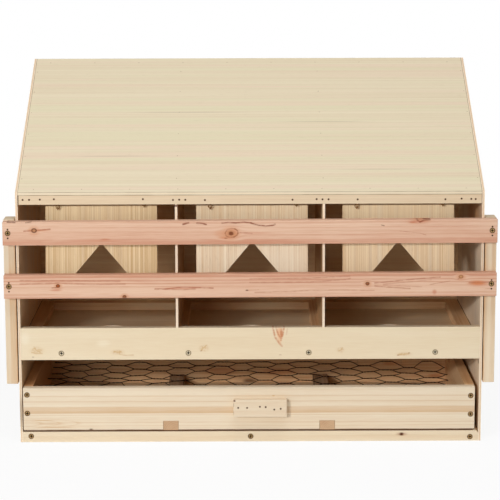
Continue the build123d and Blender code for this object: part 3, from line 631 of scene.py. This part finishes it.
def steel(name, tone, roughness, bright=1.6, metallic=0.8):
    """Dull steel with cloudy tarnish and a little rust."""
    g = new_material(name)
    place = g.place()
    cloud = g.noise(place, (3, 3, 3), 3.0)
    speck = g.noise(place, (0.6, 0.6, 0.6))
    rust = (tone[0] * 0.9, tone[1] * 0.6, tone[2] * 0.4, 1.0)
    colour = g.mix(g.smooth(cloud, 0.3, 0.7), tone, shaded(tone, bright))
    colour = g.mix(g.smooth(speck, 0.5, 0.75, 0.0, 0.6), colour, rust)
    return g.surface(colour, roughness, speck, METAL_BUMP, metallic)


def screws(node, disc, rim):
    """Cross-head screws: a plated head with a dark rim, and painted shade in its recess."""
    g = new_material(node + "_steel")
    place = g.place()
    low, high = (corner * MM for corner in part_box(node))
    away = nearest_head(g, place, node, SCREW_WIDTH)
    depth = edge_away(g, g.split(place)[1], low.y, high.y)
    cloud = g.noise(place, (2.2, 2.2, 2.2), 3.0)
    colour = g.mix(g.smooth(cloud, 0.35, 0.65), disc, shaded(disc, 0.6))
    colour = g.mix(g.smooth(away, *HEAD_RIM, 0.0, 0.95), colour, rim)
    # Painted shade: dark in the middle of the head and deeper than its face
    colour = g.mix(g.fade(away, HEAD_RECESS, 0.6), colour, RECESS)
    colour = g.mix(g.smooth(depth, *HEAD_DEPTH), colour, RECESS)
    dress(g.surface(colour, SCREW_ROUGHNESS, cloud, METAL_BUMP), node)


# Roof: plies, joints round it, and thin veneer lines along X and up
ROOF_EDGE = (srgb(233, 219, 192), srgb(224, 207, 178))
ROOF_SEAMS = (
    ("X", -438.8, 1.6, SEAM, 0.8), ("X", 438.8, 1.6, SEAM, 0.8), ("Z", 485.9, 0.9, GREY_SEAM, 0.75),
    ("Z", 480.8, 1, GREY_SEAM, 0.85),
)
ROOF_MARKS = (
    ((-260, 541.5), (110, 1), SEAM, 0.28), ((-120, 612), (160, 1), SEAM, 0.3),
    ((150, 596), (120, 1), SEAM, 0.3), ((-330, 668), (80, 1.2), ROOF_PINK, 0.5),
    ((250, 520), (120, 1), SEAM, 0.25), ((40, 655), (220, 1.4), ROOF_PINK, 0.8),
)


def dress_roof():
    """Roof, a sheet that slopes about X."""
    slope = math.radians(ROOF_SLOPE)
    down = (0, math.sin(slope), -math.cos(slope))
    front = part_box("left_side_panel")[0].y * MM
    face = down[1] * front + down[2] * ROOF_FRONT_TOP
    # Its underside takes the inner colours of painted shade
    plywood("roof_panel", "X", None, ROOF_WOOD, stripe=2.2, contrast=0.42, sheet=(down, face, ROOF_PLY),
            tints=((ROOF_PINK, 0.5), (ROOF_GREEN, 0.6)), edge=ROOF_EDGE, inside=down, marks=ROOF_MARKS,
            seams=ROOF_SEAMS)


# Side panels, the way their inner faces look, and the colours there: painted shade on the left one's,
# painted light on the right one's
SIDES = (
    ("left_side_panel", 1, (srgb(248, 220, 182), srgb(228, 184, 138))),
    ("right_side_panel", -1, (srgb(252, 234, 208), srgb(236, 208, 174))),
)
# Painted shade high up on the right side's inner face, and the worn foot of the left side's front edge
SIDE_SHADE_AND_WEAR = (
    ((438.8, -60, 440), (3, 170, 90), srgb(206, 146, 88), 0.75),
    ((-441, -194.6, 62), (5, 5, 46), GREY, 0.6),
)
# Walls between the nests: a chip on the left one's front edge, and painted light on the right one
WALL_CHIP_AND_LIGHT = (
    ((-139.65, -195, 460), (5, 3, 3.5), SCAR, 0.9), ((137.2, -180, 430), (1.6, 60, 60), PAINTED_LIGHT_PALE, 0.9),
)
WALL_EDGE = (EDGE_PALE, srgb(236, 212, 182))
# Back, seen from inside: warmer colours and darker patches high up, both painted shade
SHADED_BACK_INNER = (srgb(250, 221, 178), srgb(228, 184, 136))
BACK_PAINTED_SHADE = (
    ((-195, 210.4, 400), (90, 3, 130), srgb(206, 148, 88), 0.6),
    ((150, 210.4, 420), (80, 3, 100), srgb(206, 148, 88), 0.4),
)
# Drawer bottom's dark edge: a dark board, and painted shade in the gap under the drawer front
SHEET_EDGE = (srgb(104, 62, 32), srgb(78, 44, 20))


def dress_walls():
    """Sides, partitions, back, nest floor and drawer bottom."""
    for count, (name, inward, inner) in enumerate(SIDES):
        plywood(name, "Z", "X", ROOF_WOOD, stripe=4, contrast=0.4, tints=((ROOF_PINK, 0.4),),
                inside=(inward, 0, 0), inner=inner, stains=SIDE_SHADE_AND_WEAR, shift=count + 1)
    for count, name in enumerate(("left_partition", "right_partition")):
        plywood(name, "Y", "X", SHADED_WALL_WOOD, stripe=4, contrast=0.4, edge=WALL_EDGE,
                stains=WALL_CHIP_AND_LIGHT, shift=count + 3)
    plywood("back_panel", "X", "Y", ROOF_WOOD, stripe=6, contrast=0.5, inside=(0, -1, 0),
            inner=SHADED_BACK_INNER, stains=BACK_PAINTED_SHADE, shift=5)
    plywood("nest_floor", "X", "Z", FLOOR_WOOD, stripe=6, contrast=0.4, shift=6)
    plywood("drawer_bottom", "X", "Z", FLOOR_WOOD, stripe=9, contrast=0.6, edge=SHEET_EDGE, shift=7)


# Veneers of the flaps, a paler patch low on the middle one, and painted light along their tops: up the
# flap, then along X
FLAP_LOOKS = {
    # each flap's mark at 446 up is painted light along its top
    "left_flap": ((srgb(240, 219, 180), srgb(197, 157, 106)), (((446, -284), (36, 280), PAINTED_FLAP_TOP_LIGHT, 0.24),)),
    "middle_flap": ((srgb(249, 235, 210), srgb(212, 176, 132)), (
        ((340, 30), (70, 110), srgb(240, 226, 202), 0.5), ((446, 5), (36, 280), srgb(255, 230, 176), 0.2))),
    "right_flap": ((srgb(245, 225, 190), srgb(203, 164, 118)), (((446, 283), (36, 280), PAINTED_FLAP_TOP_LIGHT, 0.36),)),
}


def dress_flaps():
    """Flaps, sheets that lean about X and hang from their swing axes."""
    lean = math.radians(FLAP_LEAN)
    back = Vector((0, math.cos(lean), math.sin(lean)))
    for count, (name, (wood, marks)) in enumerate(FLAP_LOOKS.items()):
        joint = next(j for j in frame["joints"] if j["child"] == name + "_door")
        pivot = Vector((0, *joint["pos_m"][1:])) * MM
        plywood(name, "Z", "Y", wood, stripe=1.15, contrast=0.85, tints=((FLAP_GREY, 0.25 + 0.15 * count),),
                sheet=(back, back.dot(pivot) + EYE_STANDOFF, FLAP_PLY), marks=marks, shift=count + 8)


# Perch rails: knots, marks, lines and bands along X and up
UPPER_KNOTS = (
    ((-406.4, 417), 4.3, DARK, srgb(186, 132, 94), 0.85),
    ((-35.9, 410.4), 7, srgb(194, 136, 100), srgb(112, 58, 34), 0.9),
)
UPPER_MARKS = (
    ((-48, 402), (18, 3.6), ORANGE, 0.55), ((-30, 411), (11, 10), HAZE, 0.55),
    ((-290, 397), (80, 3), RED, 0.35), ((-273, 399.7), (13, 2.6), RED, 0.6),
    ((306, 430.2), (11, 2.6), RED, 0.7), ((322, 434), (22, 4), HAZE, 0.7),
    ((-230, 400), (150, 1.2), STREAK, 0.3), ((180, 416), (160, 1), STREAK, 0.28),
    ((10, 411), (50, 2.2), RED, 0.35), ((-400, 417.4), (30, 3.4), HAZE, 0.6),
    ((-53, 410), (22, 9), HAZE, 0.5), ((316, 431.5), (30, 7), RED, 0.5),
)
UPPER_LINES = (
    (1.4, SCAR, 0.75, (-456.8, 432.6), (-441.7, 432.2)), (1.4, SCAR, 0.75, (-422, 432), (-411.7, 432.6)),
    (2.2, STREAK, 0.8, (-425.2, 416), (-412, 417.1)),
    (2, STREAK, 0.8, (-400, 417.8), (-395.1, 418.1), (-376.3, 419.4)),
    (2.5, CRACK, 0.9, (-126.1, 428.1), (-115.7, 430.5)),
    (2.5, CRACK, 0.9, (-99.8, 430.1), (-90.4, 429.7), (-82.8, 427.5)),
    (2.1, CRACK, 0.85, (-52.8, 429.9), (-41.5, 431.2), (-26.4, 430.2), (-11.4, 432.1), (1.8, 430.1)),
    (2.2, CRACK, 0.9, (1.8, 430.1), (14.9, 425.7), (30, 424.3), (42.2, 425.2), (46.9, 427.3)),
    (1.9, BROWN, 0.85, (-28.4, 418.8), (-23.6, 415.5), (-22.7, 411.1), (-25, 406.6), (-30.3, 403.5)),
    (1.7, BROWN, 0.65, (-30.3, 403.5), (-38, 402.4), (-45, 405.4), (-47, 411)),
    (1.7, BROWN, 0.6, (-47, 411), (-43.4, 417), (-36, 419.8), (-28.4, 418.8)),
    (1.4, STREAK, 0.65, (-19, 412.1), (3.6, 410.1)), (1.7, SCAR, 0.8, (-47.3, 401.3), (-43.5, 401.3)),
    (1.6, SCAR, 0.85, (247.2, 425.4), (251.9, 424.1)),
    (2.3, CRACK, 0.85, (313.9, 435.1), (319.6, 430.9), (327.1, 434.3), (338.3, 435.6)),
    (1.3, STREAK, 0.45, (282.1, 413.9), (319.8, 409.9), (331.2, 406.1)),
)
UPPER_BANDS = [
    (386, 0.42), (394, 0.4), (402, 0.26), (409, 0.2), (413, 0.32), (416, 0.08), (423, 0.04), (425.5, 0.2),
    (427, 0.02), (432, 0.12), (437, 0.2),
]
LOWER_KNOTS = (
    ((-363.4, 310.7), 3.3, srgb(112, 58, 30), srgb(164, 88, 48), 0.95),
    ((-238, 289.4), 3.2, srgb(96, 52, 30), BROWN, 0.9),
    ((221.7, 313.2), 3.2, srgb(108, 58, 34), BROWN, 0.9),
    ((398.4, 326), 3.7, srgb(156, 104, 68), srgb(190, 140, 98), 0.85),
)
LOWER_MARKS = (
    ((430, 313.4), (26, 7.2), ORANGE, 0.9), ((348.6, 297), (6, 7), RED, 0.6),
    ((-368, 302.4), (16, 3), RED, 0.6), ((-130, 304.8), (40, 2.6), RED, 0.45),
    ((452, 303), (12, 1), STREAK, 0.4),
)
LOWER_LINES = (
    (2.2, STREAK, 0.5, (-434.9, 321.6), (-246.1, 319.9)),
    (2.2, STREAK, 0.5, (-435.1, 314.8), (-359.5, 316.5), (-302.9, 313.2), (-236.7, 314.1)),
    (1.5, BROWN, 0.75, (-366.3, 307.8), (-374.8, 306.9)),
    (2, STREAK, 0.8, (-180.1, 304.3), (-161.2, 304.2), (-136.6, 307.2), (-100.7, 306.7), (-70.4, 305.6)),
    (2, STREAK, 0.5, (-161, 304), (-127.2, 302.7), (-104, 304)),
    (1.8, SCAR, 0.9, (-7.6, 301.1), (-4.8, 301.1)), (1.2, STREAK, 0.5, (-4, 301.3), (16, 302)),
    (2, STREAK, 0.5, (-0.4, 322.9), (113, 324.4), (188.5, 328)),
    (2, STREAK, 0.5, (-0.4, 316.1), (113, 316.7), (179.1, 321.3), (188.6, 323.2)),
    (2, STREAK, 0.42, (9, 296.8), (75.2, 298.5), (113, 300.9), (179.2, 301.1), (234.1, 299.9)),
    (2, STREAK, 0.6, (235.9, 314.3), (283.1, 319), (358.7, 325.5)),
    (2, STREAK, 0.55, (235.9, 308.6), (256.8, 306.6), (302.2, 303.5)),
    (1.8, STREAK, 0.35, (252, 312.4), (292, 315.4), (342, 320)),
    (1.8, STREAK, 0.35, (252, 310.4), (282, 308.8), (324, 306.8)),
    (1.4, BROWN, 0.6, (397, 323.6), (392.8, 321.5)), (1.2, STREAK, 0.5, (340, 311.1), (377.7, 317.7)),
    (2.2, STREAK, 0.5, (414, 314.4), (452, 314.8)),
)
LOWER_BANDS = [
    (286, 0.3), (290, 0.36), (292.5, 0.1), (303, 0.08), (311, 0.12), (314.6, 0.1), (315.8, 0.6),
    (317, 0.1), (319.8, 0.14), (320.8, 0.62), (322, 0.18), (326.2, 0.3), (327.4, 0.8), (328.6, 0.4),
    (337, 0.45),
]
PERCH_HALOS = screw_halos("perch_screws", 0.7) + pin_halos("perch_pins", 1.1, 0.9)
POST_SEAMS = tuple(("X", x, 2.4, TAN_EDGE, 0.8) for x in (-445.4, 445.4))


def dress_perch():
    """Two pink rails and the posts that they are screwed to."""
    rail = {"pitch": 6, "rings": 0.34, "fibre": 0.4, "tone": 0.3, "base": 0.12, "halos": PERCH_HALOS}
    board("upper_perch_rail", "X", RAIL_WOOD, (-40, 55), wander=2.2, bands=UPPER_BANDS, knots=UPPER_KNOTS,
          marks=UPPER_MARKS, lines=UPPER_LINES, shift=1, **rail)
    board("lower_perch_rail", "X", RAIL_WOOD, (-60, 40), wander=2.4, slope=-0.004, bands=LOWER_BANDS,
          knots=LOWER_KNOTS, marks=LOWER_MARKS, lines=LOWER_LINES, shift=2, **rail)
    for count, name in enumerate(("left_perch_post", "right_perch_post")):
        wood = (shaded(POST_WOOD[0], 1 + 0.06 * count), POST_WOOD[1])
        board(name, "Z", wood, (30, 70), pitch=6, rings=0.6, tone=0.4, wander=1.6, seams=POST_SEAMS,
              shift=count + 3)


# Front boards: joints of the header, and marks along X and up
HEADER_SEAMS = (
    ("X", -437.4, 1.8, SHADOW, 0.9), ("Z", 480.4, 0.8, GREY_SEAM, 0.8), ("Z", 463, 0.7, SEAM, 0.5),
)
LIP_MARKS = (
    ((56, 214), (9, 17), PEACH, 0.9), ((56, 200), (6, 12), PEACH, 0.6),
    ((59, 213), (3.6, 13), FLAME, 0.75), ((-430, 204), (12, 18), CLOUD, 0.3),
    ((-281.6, 195.3), (18, 10), CLOUD, 0.25), ((-408, 180), (20, 10), TAN, 0.22),
    ((-254, 177), (18, 8), TAN, 0.25), ((-89, 184), (15, 9), TAN, 0.18), ((172, 180), (12, 8), TAN, 0.15),
    ((294, 172), (22, 6), TAN, 0.22),
)
LIP_BLOOMS = (
    ((-408, 182), (15, 9), TAN, 0.55), ((-254, 177.5), (15, 6), TAN, 0.6),
    ((-89, 185), (12, 9), TAN, 0.5), ((173, 180), (9, 7), TAN, 0.5), ((294, 171.8), (17, 4.6), TAN, 0.6),
)
LIP_LINES = (
    (2.8, FLAME, 0.75, (43.3, 223.5), (47.1, 205.9), (54.7, 194.1), (60.4, 188.2)),
    (2.4, FLAME, 0.7, (49, 223.4), (53.8, 209.8), (57.6, 203.9)),
    (2.6, FLAME, 0.75, (64.3, 223.4), (61.4, 209.7), (58.5, 200)),
    (2, FLAME, 0.35, (70.5, 222), (69, 211)), (1.8, SCAR, 0.6, (-416.6, 168.4), (-415, 168.4)),
    (2, TAN, 0.5, (-413.6, 188), (-409.9, 182.1), (-402.3, 178.2)),
    (1.8, TAN, 0.5, (-418, 177), (-410, 175), (-398, 175.4)),
    (2, TAN, 0.5, (-260.9, 178.6), (-254, 177), (-247.5, 178.4)),
    (1.8, TAN, 0.5, (-250, 173), (-238, 171), (-224, 171.6)),
    (1.8, TAN, 0.5, (-94.5, 179), (-90.6, 184.8), (-82.9, 190.7)),
    (1.8, TAN, 0.5, (170.8, 178.8), (173.3, 179.9), (176, 184)),
    (2, TAN, 0.5, (303.5, 173.6), (295.8, 171.6), (282.5, 169.7)),
    (1.6, BROWN, 0.5, (56, 171), (58.5, 171)), (1.6, BROWN, 0.6, (-95.2, 179), (-93.4, 179.4)),
    (1.6, BROWN, 0.5, (281.4, 169.6), (284, 169.8)), (1.6, BROWN, 0.5, (302.6, 173.5), (304.6, 173.6)),
)
SILL_MARKS = (((290.8, 13.2), (15, 5), BROWN, 0.5), ((290.8, 13.2), (6, 4.8), DARK, 0.98))


def dress_front():
    """Header under the roof, lip board under the nests, and sill."""
    board("roof_header", "X", HEADER_WOOD, (-60, 45), pitch=6, rings=0.25, base=0.25,
          halos=pin_halos("header_pins", 1.3, 0.95), seams=HEADER_SEAMS, shift=5)
    board("nest_lip_board", "X", LIP_WOOD, (-20, 26), pitch=16, rings=0.1, tone=0.22, wander=5, base=0.22,
          marks=LIP_MARKS, blooms=LIP_BLOOMS, lines=LIP_LINES, halos=screw_halos("lip_screws", 0.6),
          shift=6)
    board("front_sill", "X", SILL_WOOD, (-40, 45), pitch=7, rings=0.25, tone=0.3, base=0.25,
          marks=SILL_MARKS, halos=screw_halos("sill_screws", 0.7), shift=7)


# Drawer: its front along X and up, and the stains and a painted shadow on its other boards
DRAWER_MARKS = (
    ((-307, 25), (6, 2.4), SCAR, 0.85), ((-250, 24.2), (18, 0.9), STREAK, 0.6),
    ((44, 90.5), (4, 2), TAN, 0.6), ((-385, 36), (46, 1.3), DRAWER_DARK, 0.8),
    ((-400, 43), (34, 1.2), DRAWER_DARK, 0.8), ((-375, 29.5), (54, 1.3), DRAWER_DARK, 0.8),
)
DRAWER_BANDS = [
    (20, 0.12), (30.6, 0.05), (31.8, 0.42), (33, 0.06), (37.2, 0.06), (38.3, 0.46), (39.6, 0.04),
    (51.8, 0), (52.9, 0.5), (54, 0.02), (56, 0.05), (57, 0.62), (62, 0.55), (69, 0.36), (71, 0.05),
    (78.2, 0.06), (79.5, 0.5), (81.5, 0.1), (88.5, 0.04), (90.2, 0.36), (92, 0.05), (101.5, 0.06),
    (103, 0.26), (104.5, 0.06), (109, 0.16),
]
DRAWER_FLAMES = (((-300, 37), -1, 1.3, 36, 170, 0.22),)
DRAWER_SEAMS = (("Z", 105.6, 1.1, GREY, 0.35), ("Z", 24, 1.2, SHADOW, 0.7))
HANDLE_STAINS = (
    ((-31, -209, 84.5), (3.4, 4, 2.6), SCAR, 0.95), ((-32.5, -209, 76), (1.2, 4, 6), GREY, 0.7),
    ((-32.5, -209, 60), (1, 4, 5), GREY, 0.6),
)
DRAWER_BACK_SHADOW_AND_STAINS = (
    # The first patch on the drawer back is a painted shadow; the orange ones are patches of the board
    ((-1, 185, 26), (20, 12, 7), SHADOW, 0.75), ((-60, 185, 48), (50, 12, 12), ORANGE, 0.45),
    ((60, 185, 46), (56, 12, 11), ORANGE, 0.45), ((295, 185, 63), (22, 12, 5), ORANGE, 0.5),
    ((392, 185, 36), (22, 12, 6), ORANGE, 0.55), ((-220, 185, 90), (70, 12, 6), ORANGE, 0.35),
)
DRAWER_SIDE_STAINS = (((414, 120, 92), (8, 26, 16), ORANGE, 0.7),)


def dress_drawer():
    """Drawer's boards, handle and battens."""
    board("drawer_front", "X", DRAWER_WOOD, (-90, 60), pitch=9, rings=0.12, wander=0.9, base=0.1,
          bands=DRAWER_BANDS, flames=DRAWER_FLAMES, marks=DRAWER_MARKS,
          halos=screw_halos("drawer_screws", 0.7), seams=DRAWER_SEAMS, shift=8)
    board("drawer_handle", "X", DRAWER_WOOD, (-40, 60), pitch=6, rings=0.15, base=0.28,
          halos=pin_halos("handle_brads", 1.2, 0.9), stains=HANDLE_STAINS, shift=9)
    board("drawer_back", "X", INSIDE_WOOD, (-60, 40), stains=DRAWER_BACK_SHADOW_AND_STAINS, shift=10)
    # painted shade on the left side
    board("drawer_left_side", "Y", SHADED_DRAWER_SIDE_WOOD, (40, -60), shift=11)
    board("drawer_right_side", "Y", ROUGH_WOOD, (40, -60), stains=DRAWER_SIDE_STAINS, shift=12)
    for count, name in enumerate(("drawer_left_batten", "drawer_right_batten")):
        outline = [("X", corner.x * MM, 0.9, SHADOW, 0.6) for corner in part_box(name)]
        board(name, "Y", BATTEN_WOOD, (12, -14), pitch=3, rings=0.6, seams=outline, shift=count + 13)


# Framing: painted light on the rear cleats along X and up, and joints at the side panels
CLEAT_PAINTED_LIGHT = (
    ((-195, 206), (110, 60), PAINTED_LIGHT_PALE, 0.8), ((40, 206), (95, 60), PAINTED_LIGHT_PALE, 0.75),
    ((285, 206), (120, 60), PAINTED_LIGHT_PALE, 0.6),
)
CLEAT_SEAMS = tuple(("X", x, 2, SHADOW, 0.9) for x in (-438.8, 438.8))
CLEATS = ("left_roof_cleat", "right_roof_cleat", "left_floor_cleat", "right_floor_cleat",
          "partition_cleats", "left_drawer_runner", "middle_drawer_runner", "right_drawer_runner")


def dress_framing():
    """Sawn cleats, runners and rails."""
    for count, name in enumerate(CLEATS):
        board(name, "Y", ROUGH_WOOD, (30, -40), seams=CLEAT_SEAMS, shift=count + 15)
    for count, name in enumerate(("rear_roof_rail", "rear_sill")):
        board(name, "X", ROUGH_WOOD, (30, -40), shift=count + 23)
    board("rear_floor_cleats", "X", CLEAT_WOOD, (30, -40), marks=CLEAT_PAINTED_LIGHT, shift=25)


def dress_steel():
    """Screws, pivots, nails, staples and eyes."""
    screws("lip_screws", srgb(232, 218, 188), srgb(134, 116, 84))
    for name in ("sill_screws", "perch_screws", "drawer_screws"):
        screws(name, srgb(190, 154, 104), srgb(66, 46, 27))
    dress(steel("pivot_steel", srgb(128, 104, 76), 0.42), "pivot_bolts", "pivot_washers", "pivot_sleeves")
    dress(steel("nail_steel", srgb(60, 42, 28), 0.5), "header_pins", "perch_pins", "handle_brads")
    dress(steel("staple_steel", srgb(196, 164, 128), 0.5, bright=1.2, metallic=0.2), "net_staples")
    dress(steel("pale_nail_steel", srgb(150, 128, 100), 0.5), "roof_nails", "side_nails", "back_nails")
    dress(steel("eye_steel", srgb(132, 100, 64), 0.4, bright=1.5, metallic=0.5), "header_eyes",
          "left_flap_eyes", "middle_flap_eyes", "right_flap_eyes")


# Wire net: rows of twists along X, joined by slanting wires, mm
NET_COLUMN = 43
NET_TWIST = 23
NET_HALF_ROWS = 13
NET_WIRE = 1.6
NET_TURNS = 1.5
TWIST_STEPS = 12
SLANT_STEPS = 5
WIRE_SIDES = 6
NET_UNEVEN = 4  # how far a twist strays along and across
NET_LIFT = 2  # and up or down
NET_ASLANT = 0.25  # how far it turns, radians
NET_LENGTHS = (0.85, 1.1)  # shortest and longest twist, as shares
NET_BOW = 1.2  # how far a slanting wire bends
NET_APART = 0.32  # wires of a twist off its own line
NET_PULL = 4.2  # how far the rows are pulled out of line
NET_SKEW = -0.036  # and how far they run aslant
NET_SAG = 3.5  # height of the net's long waves
PULL_ALONG = 83  # lengths of these waves along X and Y, for one radian
RIPPLE_ALONG = 39
RIPPLE_ACROSS = 70
SAG_ALONG = 120
SAG_ACROSS = 60
PULL_START = 0.6  # where two of them begin, radians
SAG_START = 1
RIPPLE_SHARE = 0.6  # height of the ripple, as a share of the pull
NET_SHIFT = 0.7  # columns off the middle
NET_STUB = 0.5  # share cut off the twists at the right edge
NET_MARGIN = 1  # kept free at the sides
NET_SEED = 7
UP = Vector((0.0, 0.0, 1.0))


def net_waves(point):
    """Long, slow waves in a net that was rolled up once."""
    ripple = math.sin(point.x / RIPPLE_ALONG + point.y / RIPPLE_ACROSS)
    pull = math.sin(point.x / PULL_ALONG + PULL_START) + RIPPLE_SHARE * ripple
    lift = math.sin(point.x / SAG_ALONG + SAG_START) * math.sin(point.y / SAG_ACROSS)
    return Vector((0.0, NET_SKEW * point.x + NET_PULL * pull, NET_SAG * lift))


def net_twists(chance, low, high):
    """Both ends of each twist, by its column along X and its half row along Y."""
    columns = math.ceil((high.x - low.x) / 2 / NET_COLUMN)
    twists = {}
    for column in range(-columns, columns):
        for step in range(NET_HALF_ROWS + 1):
            if (step - column) % 2 == 0:
                continue
            on_border = step in (0, NET_HALF_ROWS)
            x = (low.x + high.x) / 2 + (column + NET_SHIFT) * NET_COLUMN
            y = low.y + step * (high.y - low.y) / NET_HALF_ROWS
            centre = Vector((x, y, (low.z + high.z) / 2))
            stray = Vector([chance.uniform(-1, 1) * reach for reach in (NET_UNEVEN, NET_UNEVEN, NET_LIFT)])
            centre += Vector((stray.x, 0.0, 0.0)) if on_border else stray + net_waves(centre)
            turn = 0.0 if on_border else chance.uniform(-NET_ASLANT, NET_ASLANT)
            length = NET_TWIST * chance.uniform(*NET_LENGTHS)
            half = Vector((math.cos(turn), math.sin(turn), 0.0)) * (length / 2)
            end = centre - half * NET_STUB if column == columns - 1 else centre + half
            twists[column, step] = (centre - half, end)
    return twists


def add_wire(mesh, points, limit):
    """Round wire along those of some points that lie between the net's sides."""
    points = [p for p in points if limit[0] <= p.x <= limit[1]]
    if len(points) < 2:
        return
    rings = []
    for i, point in enumerate(points):
        ahead = (points[min(i + 1, len(points) - 1)] - points[max(i - 1, 0)]).normalized()
        side = ahead.cross(UP)
        side = side.normalized() if side.length > 1e-6 else Vector((1.0, 0.0, 0.0))
        other = side.cross(ahead)
        ring = []
        for k in range(WIRE_SIDES):
            angle = 2 * math.pi * k / WIRE_SIDES
            out = side * math.cos(angle) + other * math.sin(angle)
            ring.append(mesh.verts.new((point + out * (NET_WIRE / 2)) / MM))
        rings.append(ring)
    for ring, after in zip(rings, rings[1:]):
        for k in range(WIRE_SIDES):
            j = (k + 1) % WIRE_SIDES
            mesh.faces.new((ring[k], ring[j], after[j], after[k]))
    mesh.faces.new(rings[0][::-1])
    mesh.faces.new(rings[-1])


def add_twist(mesh, start, end, first, limit):
    """Two wires wound round each other, beginning at an angle."""
    along = (end - start).normalized()
    side = along.cross(UP)
    above = side.cross(along)
    for strand in (0.0, math.pi):
        points = []
        for i in range(TWIST_STEPS + 1):
            share = i / TWIST_STEPS
            angle = first + strand + 2 * math.pi * NET_TURNS * share
            apart = NET_APART * min(1.0, 0.4 + 6 * share, 0.4 + 6 * (1 - share))
            out = side * math.cos(angle) + above * math.sin(angle)
            points.append(start.lerp(end, share) + out * apart)
        add_wire(mesh, points, limit)


def add_slant(mesh, start, end, bow, limit):
    """One wire from a twist to the next, bent a little."""
    shares = [i / SLANT_STEPS for i in range(SLANT_STEPS + 1)]
    add_wire(mesh, [start.lerp(end, share) + bow * math.sin(math.pi * share) for share in shares], limit)


def add_net():
    """Twisted hexagonal netting in the drawer, a little uneven, with cut ends at its sides."""
    chance = random.Random(NET_SEED)
    low, high = (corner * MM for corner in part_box("drawer_net"))
    limit = (low.x + NET_MARGIN, high.x - NET_MARGIN)
    twists = net_twists(chance, low, high)
    mesh = bmesh.new()
    for (column, step), (start, end) in twists.items():
        if end.x < limit[0] or start.x > limit[1]:
            continue
        add_twist(mesh, start, end, chance.uniform(0, math.pi), limit)
        for rise in (-1, 1):
            after = twists.get((column + 1, step + rise))
            if after:
                bow = Vector([chance.uniform(-1, 1) for _ in range(3)]) * NET_BOW
                add_slant(mesh, end, after[0], bow, limit)
    data = bpy.data.meshes.new("wire_net")
    mesh.to_mesh(data)
    mesh.free()
    for face in data.polygons:
        face.use_smooth = True
    data.materials.append(steel("net_wire", srgb(40, 22, 11), 0.7, bright=1.3, metallic=0.0))
    net = add_object("wire_net", data)
    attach(net, "egg_drawer")
    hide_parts("drawer_net")


def add_camera():
    """Camera with the photograph's view."""
    pitch, yaw, roll = (math.radians(a) for a in (CAMERA_PITCH, CAMERA_YAW, CAMERA_ROLL))
    ahead = Vector((math.sin(yaw) * math.cos(pitch), math.cos(yaw) * math.cos(pitch), -math.sin(pitch)))
    right = Vector((math.cos(yaw), -math.sin(yaw), 0.0))
    above = right.cross(ahead)
    turned_right = right * math.cos(roll) + above * math.sin(roll)
    turned_above = above * math.cos(roll) - right * math.sin(roll)
    data = bpy.data.cameras.new("camera")
    data.sensor_width = SENSOR
    data.lens = SENSOR * FOCAL_PIXELS / IMAGE_PIXELS
    camera = add_object("camera", data)
    axes = Matrix((turned_right, turned_above, -ahead)).transposed()
    camera.matrix_world = Matrix.Translation(CAMERA_PLACE) @ axes.to_4x4()
    scene.camera = camera


def add_lamp(name, place, size, power):
    """Soft lamp that looks at the box."""
    data = bpy.data.lights.new(name, "AREA")
    data.shape = "RECTANGLE"
    data.size, data.size_y = size
    data.energy = power
    lamp = add_object(name, data)
    lamp.location = place
    lamp.rotation_euler = (Vector(LIGHT_AIM) - Vector(place)).to_track_quat("-Z", "Y").to_euler()


def add_world():
    """Even light from all round, white behind the box."""
    world = bpy.data.worlds.new("studio")
    scene.world = world
    g = Graph(world)
    level = g.node("MapRange", {0: g.seen(), 3: WORLD_LIGHT, 4: 1.0}).outputs[0]
    background = g.node("Background", {"Color": WHITE, "Strength": level})
    g.node("OutputWorld", {0: background.outputs[0]})


def add_floor():
    """Plain pale floor that keeps the box's soft shadow."""
    bpy.ops.mesh.primitive_plane_add(size=FLOOR_SIZE)
    floor = bpy.context.object
    floor.name = "studio_floor"
    g = new_material("studio_floor")
    place = g.node("TexCoord").outputs["Object"]
    x, y, _ = g.split(place)
    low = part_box("left_side_panel")[0]
    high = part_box("right_side_panel")[1]
    middle = (low + high) / 2
    across = g.over(g.absolute(g.minus(x, middle.x)), high.x - middle.x)
    deep = g.over(g.absolute(g.minus(y, middle.y)), high.y - middle.y)
    white = g.smooth(g.measure("LENGTH", place), *FLOOR_FADE, FLOOR_GLOW, 1.0)
    share = g.times(g.times(g.seen(), white), g.smooth(g.most(across, deep), *FLOOR_WALLS))
    matt = g.node("BsdfDiffuse", {"Color": FLOOR_PAINT})
    glow = g.node("Emission", {"Color": WHITE, "Strength": 1.0})
    both = g.node("MixShader", {0: share, 1: matt.outputs[0], 2: glow.outputs[0]})
    g.node("OutputMaterial", {0: both.outputs[0]})
    floor.data.materials.append(g.owner)


dress_roof()
dress_walls()
dress_flaps()
dress_perch()
dress_front()
dress_drawer()
dress_framing()
dress_steel()
add_net()
add_camera()
add_world()
for lamp in LAMPS:
    add_lamp(*lamp)
add_floor()
bpy.context.scene.view_settings.view_transform = "Standard"
